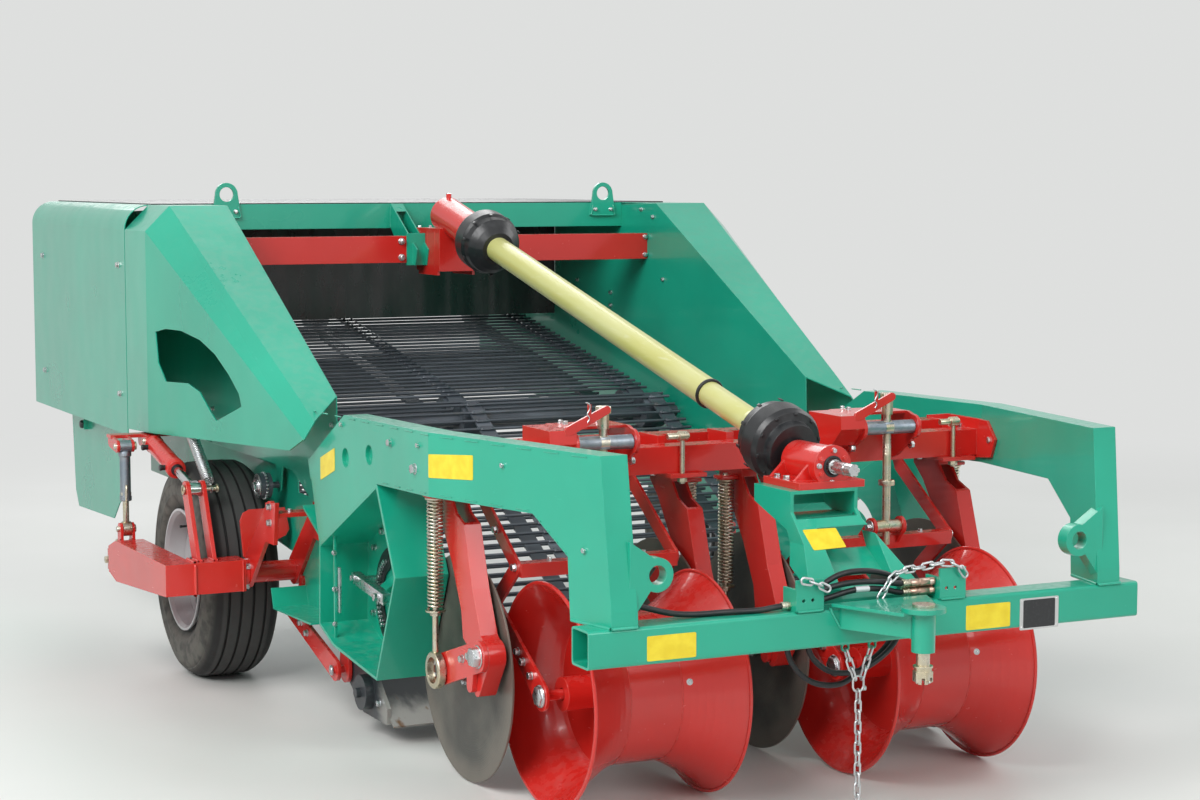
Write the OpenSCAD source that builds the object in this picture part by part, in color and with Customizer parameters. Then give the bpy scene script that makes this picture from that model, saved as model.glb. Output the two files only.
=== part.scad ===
// Two-row trailed potato digger: portal drawbar frame, two ridge rollers with sprung
// discs, share, rod web under sheet-metal hoods, and two wheels on height-setting arms.
// X is across the machine, Y runs from the hitch to the rear, Z is up, in millimetres.
// Inside the modules y = 0 is the axle of the ridge rollers, and placed() moves
// everything so that the origin lies on the floor at the middle of the machine.

/* [Drawbar frame] */
// Overall length of the front cross tube
cross_tube_len = 1726; // [1500:2:1900]
// Outer size of the square cross tube
cross_tube_w = 100; // [80:1:120]
// Wall of the cross tube
cross_tube_wall = 6; // [4:0.5:10]
// Height of the underside of the cross tube
cross_tube_z = 511; // [460:1:560]
// Front face of the cross tube
cross_tube_front = -580; // [-620:1:-560]
// Thickness of each fabricated side beam
beam_w = 76; // [60:1:84]
// Outer face of a side beam, from the middle of the machine
beam_out = 968; // [940:1:990]
// Height of the top of the side beams at the rear
beam_top_z = 1043; // [1020:1:1060]
// Height of the lower edge of the side beams
beam_low_z = 862; // [840:1:880]
// Radius of the holes in the lugs on the posts
lug_hole_r = 25; // [18:0.5:30]
// Sheet of the hexagonal boxes under the side beams
hex_wall = 8; // [5:0.5:12]

/* [Hitch] */
// Distance from the cross tube to the hitch pin
hitch_reach = 210; // [180:1:240]
// Radius of the hitch pin
hitch_pin_r = 18; // [14:0.5:22]
// Outer radius of the hitch sleeve
hitch_sleeve_r = 31; // [28:0.5:38]
// Length of the hitch sleeve
hitch_sleeve_len = 105; // [80:1:130]
// Bare length of the pin between the sleeve and its nut
hitch_pin_free = 36; // [20:1:50]

/* [Hoses and chains] */
// Outer radius of the hydraulic hoses
hose_r = 8; // [6:0.5:8]
// Outer radius of the hose couplers
coupler_r = 11.5; // [9:0.5:11.5]
// Wire of the safety chains
chain_wire = 6.5; // [5:0.5:6.5]
// Outer length of a chain link
link_len = 44; // [43:0.5:45]
// Outer width of a chain link
link_w = 24; // [22:1:24]

/* [Drive line] */
// Height of the input shaft at its bearing housing
input_z = 958; // [930:1:985]
// Radius of the bearing housing
housing_r = 55; // [45:1:62]
// Radius of the splined input stub
stub_r = 17.5; // [15:0.5:20]
// Outer radius of the rear guard tube
guard_r = 44; // [38:1:50]
// Outer radius of the front guard tube
guard_front_r = 39; // [32:1:43]
// Outer radius of the ribbed bells over the shaft joints
bell_r = 112; // [90:1:120]

/* [Hoods and covers] */
// Outer face of the hoods and rear covers
cover_out = 1170; // [1140:1:1200]
// Inner face of the web channel walls
wall_in = 867; // [850:1:880]
// Thickness of the sheet metal
sheet = 4; // [2:0.5:6]
// Height of the top of the hoods
hood_top_z = 1649; // [1600:1:1700]
// Rear end of the covers
cover_rear_y = 4170; // [4000:5:4300]
// Front edge of the rear covers
cover_front_y = 2684; // [2650:1:2720]
// Lower edge of the rear covers
cover_low_z = 805; // [790:1:850]
// Radius of the holes in the lifting eyes
eye_hole_r = 27; // [20:0.5:30]
// Outer radius of the lifting eyes
eye_r = 43; // [38:0.5:50]

/* [Webs] */
// Half of the length of the web rods
rod_half = 820; // [780:1:830]
// Radius of the web rods
rod_r = 5.5; // [4:0.5:7]
// Pitch of the web rods
rod_pitch = 50; // [40:1:60]
// Radius of the rollers that carry the webs
web_roller_r = 60; // [50:1:70]

/* [Row units] */
// Distance of each row unit from the middle of the machine
unit_x = 476; // [460:1:490]
// Outer radius of the ridge rollers
roller_r = 319; // [300:1:330]
// Radius of the waist of the ridge rollers
waist_r = 210; // [180:1:230]
// Half width of a ridge roller
roller_half = 240; // [225:1:250]
// Shell of the ridge rollers
roller_shell = 6; // [4:0.5:10]
// Distance of the discs from the middle of their row unit
disc_off = 315; // [300:1:325]
// Radius of the discs
disc_r = 333; // [300:1:335]
// Thickness of the discs
disc_t = 6; // [4:0.5:8]
// Place of the disc axle behind the roller axle
disc_y = 382; // [375:1:395]
// Height of the disc axle
disc_z = 336; // [334:1:360]
// Radius of the depth spindles
spindle_r = 12; // [9:0.5:15]

/* [Wheels] */
// Outer radius of the tyres
tyre_r = 379; // [365:1:390]
// Width of the tyres
tyre_w = 264; // [240:1:270]
// Radius of the rim flange
rim_r = 214; // [200:1:225]
// Distance of the wheels from the middle of the machine
wheel_x = 1000; // [990:1:1020]
// Place of the wheel axle behind the roller axle
wheel_y = 2171; // [2150:1:2190]
// Radius of the stub axles
axle_r = 25; // [20:0.5:30]
// Radius of the journal that each wheel arm turns on
journal_r = 35; // [28:0.5:40]
// Height of the box section of the wheel arms
arm_h = 105; // [90:1:110]
// Radius of the cylinder barrels
barrel_r = 32; // [26:0.5:36]
// Radius of the piston rods
piston_rod_r = 15; // [11:0.5:18]

/* [Fits] */
// Radial clearance of a turning shaft in its bore
run_fit = 0.1; // [0.05:0.05:0.3]
// Gap between curved faces that move past each other
slack = 0.4; // [0.3:0.1:1]
// Side clearance of a lug in its clevis
side_gap = 1; // [0.5:0.5:3]
// Free play round the pin in the eye of each piston rod
rod_eye_play = 4.5; // [4.5:0.1:6]
// Free play round the pin in the lower eye of each stay
stay_eye_play = 7.4; // [7:0.1:8]

/* [Hidden] */
$fn = 64;

green = [0.03, 0.52, 0.39];
red = [0.78, 0.08, 0.07];
black = [0.07, 0.07, 0.08];
steel = [0.62, 0.60, 0.50];
zinc = [0.72, 0.72, 0.70];
lemon = [0.80, 0.80, 0.45];
white = [0.85, 0.86, 0.86];

hitch_plate_r = 58;
front_end = cross_tube_front - hitch_reach - hitch_plate_r;
frame_mid_y = (front_end + cover_rear_y) / 2;
tube_top_z = cross_tube_z + cross_tube_w;
tube_rear = cross_tube_front + cross_tube_w;

// The side beams run straight from fold_y to the rear and slant inwards ahead of it
fold_y = 230;
slant = 0.209;
beam_rear_y = 1243;
hex_top_y = 639;
hex_rear_y = 1154;
hex_rear_z = 604;
hex_z = 850;
hex_in = 800;

// Drive line: the shaft rises from its front joint to the gearbox
joint_front = [0, -40, 1000];
joint_rear = [0, 2050, 1515];
gear_y = 2417;
gear_z = 1608;

// Webs, as straight runs from a front to a rear roller
web_low = [1190, 262];
web_mid = [2230, 850];
web_mid2 = [2400, 862];
web_high = [3950, 1160];

// Wheel arms turn on a journal across the machine
arm_y = 1735;
arm_z = 425;
arm_corner_x = 1315;
arm_end_y = 2500;
wheel_z = tyre_r;
idler = [1842, 703];
lever_y = 1870;
lever_z = 700;
clevis_y = 2400;
clevis_z = 812;
cyl_x = 1160;
stay_x = 1262;
stay_top = [2380, 800];
stay_low = [2378, 505];

module placed() translate([0, -frame_mid_y, 0]) children();

module both_sides() {
    children();
    mirror([1, 0, 0]) children();
}

// Extrudes an outline drawn in Y and Z from x0 to x1
module along_x(x0, x1) translate([x0, 0, 0]) rotate([90, 0, 90]) linear_extrude(x1 - x0) children();

// Extrudes an outline drawn in X and Z from y0 to y1
module along_y(y0, y1) translate([0, y1, 0]) rotate([90, 0, 0]) linear_extrude(y1 - y0) children();

// A round bar of radius r across the machine from x0 to x1 at y, z
module bar_x(x0, x1, y, z, r) translate([x0, y, z]) rotate([0, 90, 0]) cylinder(r = r, h = x1 - x0);

// A round bar of radius r along the machine from y0 to y1 at x, z
module bar_y(y0, y1, x, z, r) translate([x, y0, z]) rotate([-90, 0, 0]) cylinder(r = r, h = y1 - y0);

// A block between two opposite corners
module block(a, b) translate(a) cube(b - a);

// A round bar between two points
module bar_between(a, b, r) {
    v = b - a;
    len = norm(v);
    translate(a) rotate([0, acos(v[2] / len), atan2(v[1], v[0])]) cylinder(r = r, h = len);
}

// A plate or link outline: a round end at each of two points
module link_2d(a, b, ra, rb) {
    v = b - a;
    d = norm(v);
    t = acos((ra - rb) / d);
    u = atan2(v[1], v[0]);
    translate(a) circle(r = ra);
    translate(b) circle(r = rb);
    polygon([a + ra * [cos(u + t), sin(u + t)], b + rb * [cos(u + t), sin(u + t)],
        b + rb * [cos(u - t), sin(u - t)], a + ra * [cos(u - t), sin(u - t)]]);
}

// A hexagonal bolt head and washer, its axis along +X from the origin
module bolt_x(r, head) rotate([0, 90, 0]) {
    cylinder(r = r * 1.25, h = head * 0.25);
    rotate(30) cylinder(r = r, h = head, $fn = 6);
}

module square_tube_2d(w, wall, r) difference() {
    rounded_2d(w, w, r);
    rounded_2d(w - 2 * wall, w - 2 * wall, r - wall / 2);
}

module rounded_2d(w, h, r) {
    square([w - 2 * r, h], center = true);
    square([w, h - 2 * r], center = true);
    for (sx = [-1, 1], sz = [-1, 1]) translate([sx * (w / 2 - r), sz * (h / 2 - r)]) circle(r = r);
}

module cross_tube() color(green) placed()
    translate([0, cross_tube_front + cross_tube_w / 2, cross_tube_z + cross_tube_w / 2])
        along_x(-cross_tube_len / 2, cross_tube_len / 2)
            square_tube_2d(cross_tube_w, cross_tube_wall, 10);

// Side view of a beam with its post, which stands on the cross tube
module beam_side_2d() polygon([[cross_tube_front, tube_top_z], [cross_tube_front + 2, tube_top_z + 44],
    [cross_tube_front + 45, beam_top_z + 6], [fold_y, beam_top_z], [914, beam_top_z - 13],
    [beam_rear_y, beam_low_z - 1], [hex_rear_y, hex_rear_z], [hex_top_y, hex_z],
    [fold_y, beam_low_z], [-250, beam_low_z + 8], [-400, 775], [-410, tube_top_z]]);

// Plan view of a beam: straight at the rear, slanting inwards in front
module beam_plan_2d(inset) {
    front = cross_tube_front - 10;
    narrow = slant * (fold_y - front);
    polygon([[beam_out, 1300], [beam_out, fold_y], [beam_out - narrow, front],
        [beam_out - narrow - beam_w + inset, front], [beam_out - beam_w + inset, fold_y],
        [beam_out - beam_w + inset, 1300]]);
}

lug_x = 663;
lug_z = 740;
lug_t = 40;

module side_beams() color(green) placed() both_sides() {
    difference() {
        union() {
            intersection() {
                along_x(beam_out - 400, beam_out + 10) beam_side_2d();
                linear_extrude(1200) beam_plan_2d(0);
            }
            along_y(cross_tube_front + 8, cross_tube_front + 8 + lug_t) difference() {
                union() {
                    translate([lug_x, lug_z]) circle(r = 45);
                    polygon([[lug_x + 10, lug_z + 44], [lug_x + 80, lug_z + 90],
                        [lug_x + 80, lug_z - 120], [lug_x + 20, lug_z - 40]]);
                }
                translate([lug_x, lug_z]) circle(r = lug_hole_r);
            }
        }
        for (h = [[700, 930, 30], [905, 900, 30]])
            bar_x(beam_out - 14, beam_out + 10, h[0], h[1], h[2]);
    }
    for (h = [[520, 985, 11], [330, 930, 12], [300, 1000, 7], [930, 1000, 7], [-120, 985, 8], [-470, 800, 8]]) {
        skew = h[0] < fold_y ? slant * (fold_y - h[0]) : 0;
        translate([beam_out - skew - (skew > 0 ? 2 : 0), h[0], h[1]]) bolt_x(h[2], 9);
    }
}

// Hexagonal box below each beam: four free sides, an inner panel and a rim of flanges
module hex_2d() polygon([[hex_top_y, hex_z], [hex_rear_y, hex_rear_z], [1162, 342], [1032, 296],
    [652, 260], [494, 591]]);

module hex_inner_2d() polygon([[hex_top_y + 6, hex_z - 14], [hex_rear_y - 9, hex_rear_z - 9],
    [1153, 348], [1030, 305], [657, 269], [504, 590]]);

module hex_boxes() color(green) placed() both_sides() {
    difference() {
        along_x(hex_in, beam_out) hex_2d();
        along_x(hex_in + hex_wall, beam_out + 1) hex_inner_2d();
        along_x(hex_in - 1, hex_in + hex_wall + 1)
            intersection() {
                difference() {
                    translate([830, 540]) circle(r = 150);
                    translate([830, 540]) circle(r = 105);
                }
                polygon([[700, 500], [700, 720], [830, 720], [830, 540]]);
            }
    }
    // Flange strip inside the rear edge, with its bolts
    along_x(beam_out - 24, beam_out - 16) intersection() {
        hex_2d();
        translate([1060, 200]) square([8, 700]);
    }
    translate([hex_in + hex_wall, 0, 0]) {
        for (b = [[1080, 590, 9], [1010, 650, 9], [1080, 470, 9], [990, 480, 9], [1090, 380, 9], [930, 690, 9]])
            translate([0, b[0], b[1]]) bolt_x(b[2], 10);
        // Guide bar for the web tension slide
        translate([25, 890, 505]) rotate([-24, 0, 0]) block([-25, -120, -14], [5, 120, 14]);
    }
}

nose_half = 62;
hitch_y = cross_tube_front - hitch_reach;
sleeve_low_z = 523;

module hitch_nose() color(green) placed() {
    plate_z = sleeve_low_z + hitch_sleeve_len;
    difference() {
        union() {
            translate([0, 0, plate_z - 70]) linear_extrude(62)
                polygon([[-125, cross_tube_front], [125, cross_tube_front], [hitch_sleeve_r, hitch_y + 12],
                    [-hitch_sleeve_r, hitch_y + 12]]);
            translate([0, hitch_y, sleeve_low_z]) cylinder(r = hitch_sleeve_r, h = hitch_sleeve_len);
            translate([0, hitch_y, plate_z]) cylinder(r = hitch_plate_r, h = 13);
            translate([0, 0, plate_z - 9]) linear_extrude(9)
                polygon([[150, cross_tube_front], [nose_half, hitch_y], [-nose_half, hitch_y],
                    [-150, cross_tube_front]]);
        }
        translate([0, hitch_y, sleeve_low_z - 1]) cylinder(r = hitch_pin_r + run_fit, h = 200);
        block([-cross_tube_len, cross_tube_front, 0], [cross_tube_len, tube_rear + 10, tube_top_z]);
    }
    // Lugs under the tube for the safety chain
    for (x = [-88, -3]) along_y(-553.5, -546.5) difference() {
        union() {
            translate([x, 499]) circle(r = cross_tube_z - 499);
            translate([x - 12, 499]) square([24, cross_tube_z - 499]);
        }
        translate([x, 499]) circle(r = 8.5);
    }
}

module hitch_pin() color(steel) placed() translate([0, hitch_y, 0]) {
    low = sleeve_low_z - hitch_pin_free;
    nut = 42;
    difference() {
        union() {
            translate([0, 0, low - nut - 6]) cylinder(r = hitch_pin_r, h = sleeve_low_z - low + nut + 6 + 121);
            translate([0, 0, low - nut]) rotate(15) cylinder(r = 27, h = nut * 0.66, $fn = 6);
            translate([0, 0, low - nut]) cylinder(r = 23, h = nut);
            translate([0, 0, low - 5]) cylinder(r = 26, h = 5);
            translate([0, 0, sleeve_low_z + hitch_sleeve_len + 13]) cylinder(r = 30, h = 8);
        }
        for (k = [0:2]) rotate(k * 60) block([-40, -4, low - nut - 10], [40, 4, low - nut + 12]);
    }
    bar_y(-38, 38, 0, low - nut + 5, 2.5);
}

// Upright plates on the cross tube that hold the hose ends
module hose_brackets() color(green) placed() for (x = [-215, 235]) difference() {
    union() {
        block([x - 42, cross_tube_front, tube_top_z], [x + 42, cross_tube_front + 8, tube_top_z + 85]);
        block([x - 42, cross_tube_front + 8, tube_top_z], [x - 34, tube_rear - 30, tube_top_z + 60]);
    }
    for (h = [[-20, 30], [8, 30]]) bar_y(cross_tube_front - 1, cross_tube_front + 9, x + h[0], tube_top_z + h[1], 5);
}

// Routes of the hoses, on their centre lines from end to end
feed_route = [[-722, -512, 661], [-699.3, -511.9, 655.6], [-676.8, -512.3, 649.1], [-654.5, -513.3, 642.3], [-632.1, -514.4, 635.8],
    [-609.5, -515.7, 630], [-586.7, -517.2, 625.4], [-563.6, -519, 622.1], [-540.4, -521, 620], [-517.2, -523.2, 619.2],
    [-493.9, -525.5, 619.2], [-470.7, -528, 619.5], [-447.5, -530.6, 619.7], [-424.3, -533.2, 619.7], [-401.1, -535.9, 619.4],
    [-377.9, -538.6, 618.9], [-354.6, -541.1, 619], [-331.4, -543.3, 620.3], [-308.3, -544.7, 623.1], [-285, -545, 625]];
top_route = [[-228, -522, 655], [-206.8, -522.8, 656.8], [-185.8, -525.2, 659.9], [-165.2, -527.9, 664.5], [-145.3, -530.2, 671.8],
    [-126.6, -532.1, 681.7], [-107.2, -533.6, 690.5], [-86.7, -534.5, 695.9], [-65.6, -535.2, 698.8], [-44.3, -535.8, 699.7],
    [-23, -536, 698.9], [-1.8, -535.8, 696.8], [19.2, -535, 693.2], [39.8, -533.7, 688.1], [59.9, -531.8, 681.2],
    [79.3, -529.7, 672.6], [98.5, -527.9, 663.4], [118, -527, 655]];
upper_route = [[-228, -545, 650], [-206.8, -545, 651.8], [-185.8, -545.4, 655], [-164.9, -545.7, 658.7], [-144.1, -546.4, 662.8],
    [-123.2, -547.6, 666.7], [-102.2, -548.4, 669.7], [-81, -548.8, 671.5], [-59.8, -549.4, 672.4], [-38.6, -550.4, 672.4],
    [-17.4, -551.2, 671.7], [3.8, -551.7, 670.3], [24.9, -552, 668], [45.9, -552.1, 664.7], [66.9, -551.9, 661.3],
    [88, -551, 659]];
low_route = [[-228, -545, 627], [-206.7, -545, 627.9], [-185.4, -545.8, 629.4], [-164.3, -546.6, 632.6], [-143.3, -547.3, 636.6],
    [-122.4, -548.1, 640.6], [-101.6, -548.9, 645.4], [-80.6, -549.5, 649.5], [-59.4, -550, 652.1], [-38.1, -550.7, 653.1],
    [-16.8, -551.1, 652.8], [4.5, -551, 651.3], [25.7, -551.1, 648.3], [46.5, -551.1, 643.9], [67.1, -550.2, 638.3],
    [88, -549, 634]];
inner_route = [[-142, -452, 667.5], [-144, -452.6, 639.2], [-147.3, -454, 611], [-150.9, -455.3, 582.8], [-153.6, -456.4, 554.6],
    [-153.9, -458.5, 526.2], [-150.9, -460.3, 498], [-142.5, -461, 471], [-125.7, -461.7, 448.3], [-104.1, -462.4, 429.9],
    [-79, -463.2, 416.6], [-51.4, -463.8, 410.1], [-23.1, -464.1, 408.2], [5.2, -464, 410.3], [32.8, -463.3, 417.1],
    [59, -462.2, 427.8], [84, -460.7, 441.3], [107.6, -458.8, 457], [128.1, -456.8, 476.5], [143.2, -455, 500.4],
    [150.5, -453.6, 527.7], [152.1, -452.7, 556], [150.2, -452.3, 584.4], [145.8, -451.7, 612.4], [139.9, -451, 640.2],
    [134, -450, 668]];
outer_route = [[-150, -434, 674], [-160.6, -434.7, 645.3], [-173.6, -436.9, 617.7], [-186.9, -440, 590.3], [-198.7, -443.3, 562.3],
    [-207.4, -447.3, 533.3], [-211.2, -452.2, 503.4], [-208.3, -456.7, 473.3], [-196.9, -460.6, 445.4], [-177.8, -463.9, 421.8],
    [-154.3, -466.7, 402.5], [-126.9, -468.8, 389.2], [-97.1, -470, 382.3], [-66.7, -469.6, 379.7], [-36.8, -464.8, 382.8],
    [-9, -455.6, 391.5], [18, -446.9, 402.9], [44.6, -441.4, 417], [70.8, -437.9, 432.4], [96.7, -435.6, 448.6],
    [120.1, -433.8, 468.2], [137.2, -432.3, 493.3], [145.5, -431.4, 522.6], [147, -431, 553.2], [145.5, -430.5, 583.7],
    [142.5, -429.9, 614.2], [139, -429.4, 644.6], [136, -429, 675]];

function unit(v) = v / norm(v);
function along(p, i) = unit(p[min(i + 1, len(p) - 1)] - p[max(i - 1, 0)]);

// A round hose swept along its route, ring by ring
module hose(p) {
    sides = 10;
    rings = [for (i = [0:len(p) - 1]) let (t = along(p, i), n = unit(cross(t, [0, 1, 0])), b = cross(t, n))
        for (k = [0:sides - 1]) p[i] + hose_r * (cos(k * 360 / sides) * n + sin(k * 360 / sides) * b)];
    last = (len(p) - 1) * sides;
    polyhedron(rings, concat([[for (k = [0:sides - 1]) k]], [[for (k = [sides - 1:-1:0]) last + k]],
        [for (i = [0:len(p) - 2], k = [0:sides - 1]) let (a = i * sides + k, b = i * sides + (k + 1) % sides)
            [a, a + sides, b + sides, b]]));
}

module hose_feed() color(black) placed() hose(feed_route);
module hose_top() color(black) placed() hose(top_route);
module hose_upper() color(black) placed() hose(upper_route);
module hose_low() color(black) placed() hose(low_route);
module hose_inner() color(black) placed() hose(inner_route);
module hose_outer() color(black) placed() hose(outer_route);

// Ends of the hoses as bars across the machine: from X0 to X1 at Y, Z, the radius less THIN
X0 = 0;
X1 = 1;
END_Y = 2;
END_Z = 3;
THIN = 4;
end_table = [[-734.3, -724.1, -512, 661, 0], [-284.2, -257, -545, 625, 0], [-249, -228.8, -522, 655, 1],
    [-249, -228.8, -545, 650, 1], [-249, -228.4, -545, 627, 1], [121, 140, -527, 652, 2], [140, 193, -527, 652, 1],
    [89, 113, -551, 658, 2], [113, 193, -551, 658, 0], [89.8, 113, -549, 634, 2], [113, 193, -549, 634, 0]];

module hose_ends() color(steel) placed() for (e = end_table)
    bar_x(e[X0], e[X1], e[END_Y], e[END_Z], coupler_r - e[THIN]);

// Chains: each link lies from one point of its table to the next
chain_left = [[-85.4, -550, 491.7], [-75.9, -550, 464.8], [-66.3, -550, 438], [-56.8, -550, 411.1]];
chain_right = [[-5.6, -550, 491.7], [-15.1, -550, 464.8], [-24.7, -550, 438], [-34.2, -550, 411.1]];
chain_drop = [[-45.5, -550, 377], [-45.5, -550, 348.6], [-45.5, -550, 320], [-45.5, -550, 291.6], [-45.5, -550, 263],
    [-45.5, -550, 234.6], [-45.5, -550, 206], [-45.5, -550, 177.6], [-45.5, -550, 149], [-45.5, -550, 120.6],
    [-45.5, -550, 92.1], [-45.5, -550, 63.6], [-45.5, -550, 35.1]];
chain_over = [[4, -573, 627], [20.3, -574, 650.4], [35.5, -574.4, 674.6], [58.5, -572.9, 691.4], [86.1, -570.6, 697.9],
    [114.6, -569.8, 700.3], [143, -570.9, 702.8], [171, -573.8, 707.1], [198.4, -580.2, 711.4], [225.4, -589.5, 709.9],
    [250.2, -592.7, 696.1], [267.7, -592.1, 673.6]];
chain_tie = [[-246, -592.4, 697], [-218.1, -592.4, 691.3], [-191.5, -592.4, 681], [-165.9, -592.4, 668.3]];

// A link of wire, drawn flat, its length along Z
module chain_link(length, width) {
    end = (length - width) / 2;
    translate([0, chain_wire / 2, 0]) rotate([90, 0, 0]) linear_extrude(chain_wire) difference() {
        link_2d([0, -end], [0, end], width / 2, width / 2);
        link_2d([0, -end], [0, end], width / 2 - chain_wire, width / 2 - chain_wire);
    }
}

// A chain along a table, its links turned a quarter one after another
module chain(p, first) for (i = [0:len(p) - 2]) {
    v = p[i + 1] - p[i];
    translate((p[i] + p[i + 1]) / 2) rotate([0, acos(v[2] / norm(v)), atan2(v[1], v[0])])
        rotate(first + 90 * (i % 2)) chain_link(link_len, link_w);
}

module chains() color(zinc) placed() {
    chain(chain_left, 90);
    chain(chain_right, 90);
    chain(chain_drop, 90);
    chain(chain_over, 0);
    chain(chain_tie, 0);
    translate([-45.5, -550, 396.5]) chain_link(50, 41);
}

ped_top_z = input_z - housing_r - 5;
ped_front = -350;
ped_half = 107;
ped_x = -34;

// Pedestal of folded plate that carries the bearing housing above the cross tube
module pto_pedestal() color(green) placed() {
    foot_half = 190;
    difference() {
        intersection() {
            along_x(-400, 400) polygon([[ped_front, ped_top_z], [-150, ped_top_z], [-150, 850],
                [-330, 790], [-380, 700], [tube_rear, 660], [tube_rear, tube_top_z],
                [cross_tube_front + 60, tube_top_z], [cross_tube_front + 65, 650], [ped_front - 55, 780],
                [ped_front, 840]]);
            along_y(-600, 0) polygon([[ped_x - ped_half, ped_top_z], [ped_x + ped_half, ped_top_z],
                [ped_x + ped_half, 815], [foot_half, tube_top_z], [-foot_half, tube_top_z],
                [ped_x - ped_half, 760]]);
        }
        // Window at the top, closed at its rear
        block([ped_x - ped_half + 10, ped_front - 30, ped_top_z - 76], [ped_x + ped_half - 10, -190, ped_top_z - 10]);
        // Slot in the sloping front plate
        translate([0, -490, 690]) rotate([35, 0, 0]) block([-80, -80, -38], [95, 200, 30]);
    }
}

housing_end = -150;

module bearing_housing() color(red) placed() translate([0, 0, input_z]) {
    difference() {
        union() {
            bar_y(-325, housing_end, 0, 0, housing_r);
            bar_y(-337, -325, 0, 0, housing_r + 4);
            block([-112, ped_front + 4, -housing_r - 5], [98, housing_end, -housing_r + 15]);
            for (y = [-300, -170]) along_y(y, y + 10)
                polygon([[-100, -housing_r + 14], [-48, 10], [48, 10], [90, -housing_r + 14]]);
            for (k = [0:5]) rotate([0, k * 60 + 30, 0]) translate([housing_r - 12, -337, 0])
                rotate([90, 0, 0]) cylinder(r = 7, h = 6, $fn = 6);
            for (x = [-95, 80], y = [-250, -200]) translate([x, y, -housing_r + 15]) cylinder(r = 9, h = 8, $fn = 6);
        }
        bar_y(-340, housing_end + 10, 0, 0, stub_r + 3 + run_fit);
    }
}

// Splined input stub, which turns in the housing
module input_shaft() color(steel) placed() translate([0, 0, input_z]) {
    difference() {
        bar_y(-448, -350, 0, 0, stub_r);
        for (k = [0:5]) rotate([0, k * 60, 0]) block([-4, -449, stub_r - 3], [4, -352, stub_r + 1]);
        rotate_extrude_y(-410) translate([stub_r - 2, 0]) circle(r = 3.5);
    }
    bar_y(-350, housing_end - 2, 0, 0, stub_r + 3);
}

module rotate_extrude_y(y) translate([0, y, 0]) rotate([-90, 0, 0]) rotate_extrude() children();

shaft_tilt = atan2(joint_rear[2] - joint_front[2], joint_rear[1] - joint_front[1]);
shaft_len = norm(joint_rear - joint_front);
guard_split = 420;
bell_front = -92;
bell_len = 190;

// Moves children so that their +Y axis runs up the drive line from its front joint
module on_drive_line() translate(joint_front) rotate([shaft_tilt, 0, 0]) children();

module shaft_guard() color(lemon) placed() on_drive_line() {
    start = bell_front + bell_len + 0.3;
    bar_y(start, guard_split, 0, 0, guard_front_r);
    bar_y(guard_split, shaft_len - start, 0, 0, guard_r);
    rotate_extrude_y(start) polygon([[0, 0], [58, 0], [58, 22], [guard_front_r, 60], [0, 60]]);
}

// Ribbed bell: a stack of rounded steps that widens away from the guard tube
module bell_2d() polygon([[0, 0], [bell_r - 34, 0], [bell_r - 30, 30], [bell_r - 8, 36], [bell_r, 52],
    [bell_r, 110], [bell_r - 8, 122], [bell_r - 12, 150], [bell_r - 30, 172], [60, bell_len],
    [0, bell_len]]);

module guard_bells() color(black) placed() {
    on_drive_line() rotate_extrude_y(bell_front) bell_2d();
    on_drive_line() translate([0, shaft_len - bell_front, 0]) rotate([0, 0, 180]) rotate_extrude_y(0) bell_2d();
}

gear_half = 74.7;

module gearbox() color(red) placed() {
    on_drive_line() bar_y(shaft_len - bell_front + 1, shaft_len + 400, 0, 0, 66);
    difference() {
        block([-gear_half, 2330, 1400], [gear_half, 2560, 1560]);
        on_drive_line() bar_y(0, shaft_len - bell_front + 1, 0, 0, bell_r + 2);
    }
    for (x = [-gear_half, gear_half - 10]) block([x, 2350, 1385], [x + 10, 2540, 1400]);
    translate([0, gear_y, gear_z + 50]) cylinder(r = 10, h = 30);
}

beam_y = 2700;
beam_h = 94;
beam_z = hood_top_z - beam_h;

module top_beam() color(green) placed() {
    difference() {
        block([-wall_in, beam_y, beam_z], [wall_in, beam_y + 100, hood_top_z]);
        block([-wall_in - 1, beam_y + 5, beam_z + 5], [wall_in + 1, beam_y + 95, hood_top_z - 5]);
    }
    both_sides() along_y(beam_y - 10, beam_y) difference() {
        union() {
            translate([779, hood_top_z + 37]) circle(r = eye_r);
            polygon([[779 - eye_r, hood_top_z + 37], [779 + eye_r, hood_top_z + 37],
                [779 + 56, hood_top_z - 50], [779 - 56, hood_top_z - 50]]);
        }
        translate([779, hood_top_z + 37]) circle(r = eye_hole_r);
    }
    // Bracket from the beam down to the gearbox, between the red bars
    difference() {
        along_x(-125, -75) polygon([[beam_y, hood_top_z], [beam_y, beam_z], [2560, 1430], [2450, 1420],
            [2430, 1480]]);
        block([-120, 2000, 1300], [-80, beam_y - 6, hood_top_z - 30]);
    }
    block([-150, 2470, 1420], [-75, 2480, 1540]);
    block([75, 2470, 1420], [190, 2480, 1540]);
    along_x(75, 83) polygon([[beam_y, hood_top_z - 10], [beam_y, beam_z], [2560, 1420], [2470, 1420], [2470, 1560]]);
}

module gearbox_bars() color(red) placed() {
    for (x = [[-wall_in, -150], [190, wall_in]])
        difference() {
            block([x[0], 2472, 1430], [x[1], 2540, 1530]);
            block([x[0] - 1, 2478, 1436], [x[1] + 1, 2534, 1524]);
        }
    for (x = [-170, 200]) for (z = [1450, 1510]) bar_y(2462, 2472, x, z, 9);
}

// Side view of a channel wall above the webs
module wall_2d() polygon([[1170, 640], [hex_rear_y + 6, hex_rear_z + 8], [1215, 800], [beam_rear_y + 6, beam_low_z - 1],
    [1256, 1053], [2399, hood_top_z], [cover_rear_y - 30, hood_top_z - 50], [cover_rear_y - 10, cover_low_z],
    [2650, cover_low_z], [2620, 770], [1700, 770], [1500, 690]]);

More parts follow.
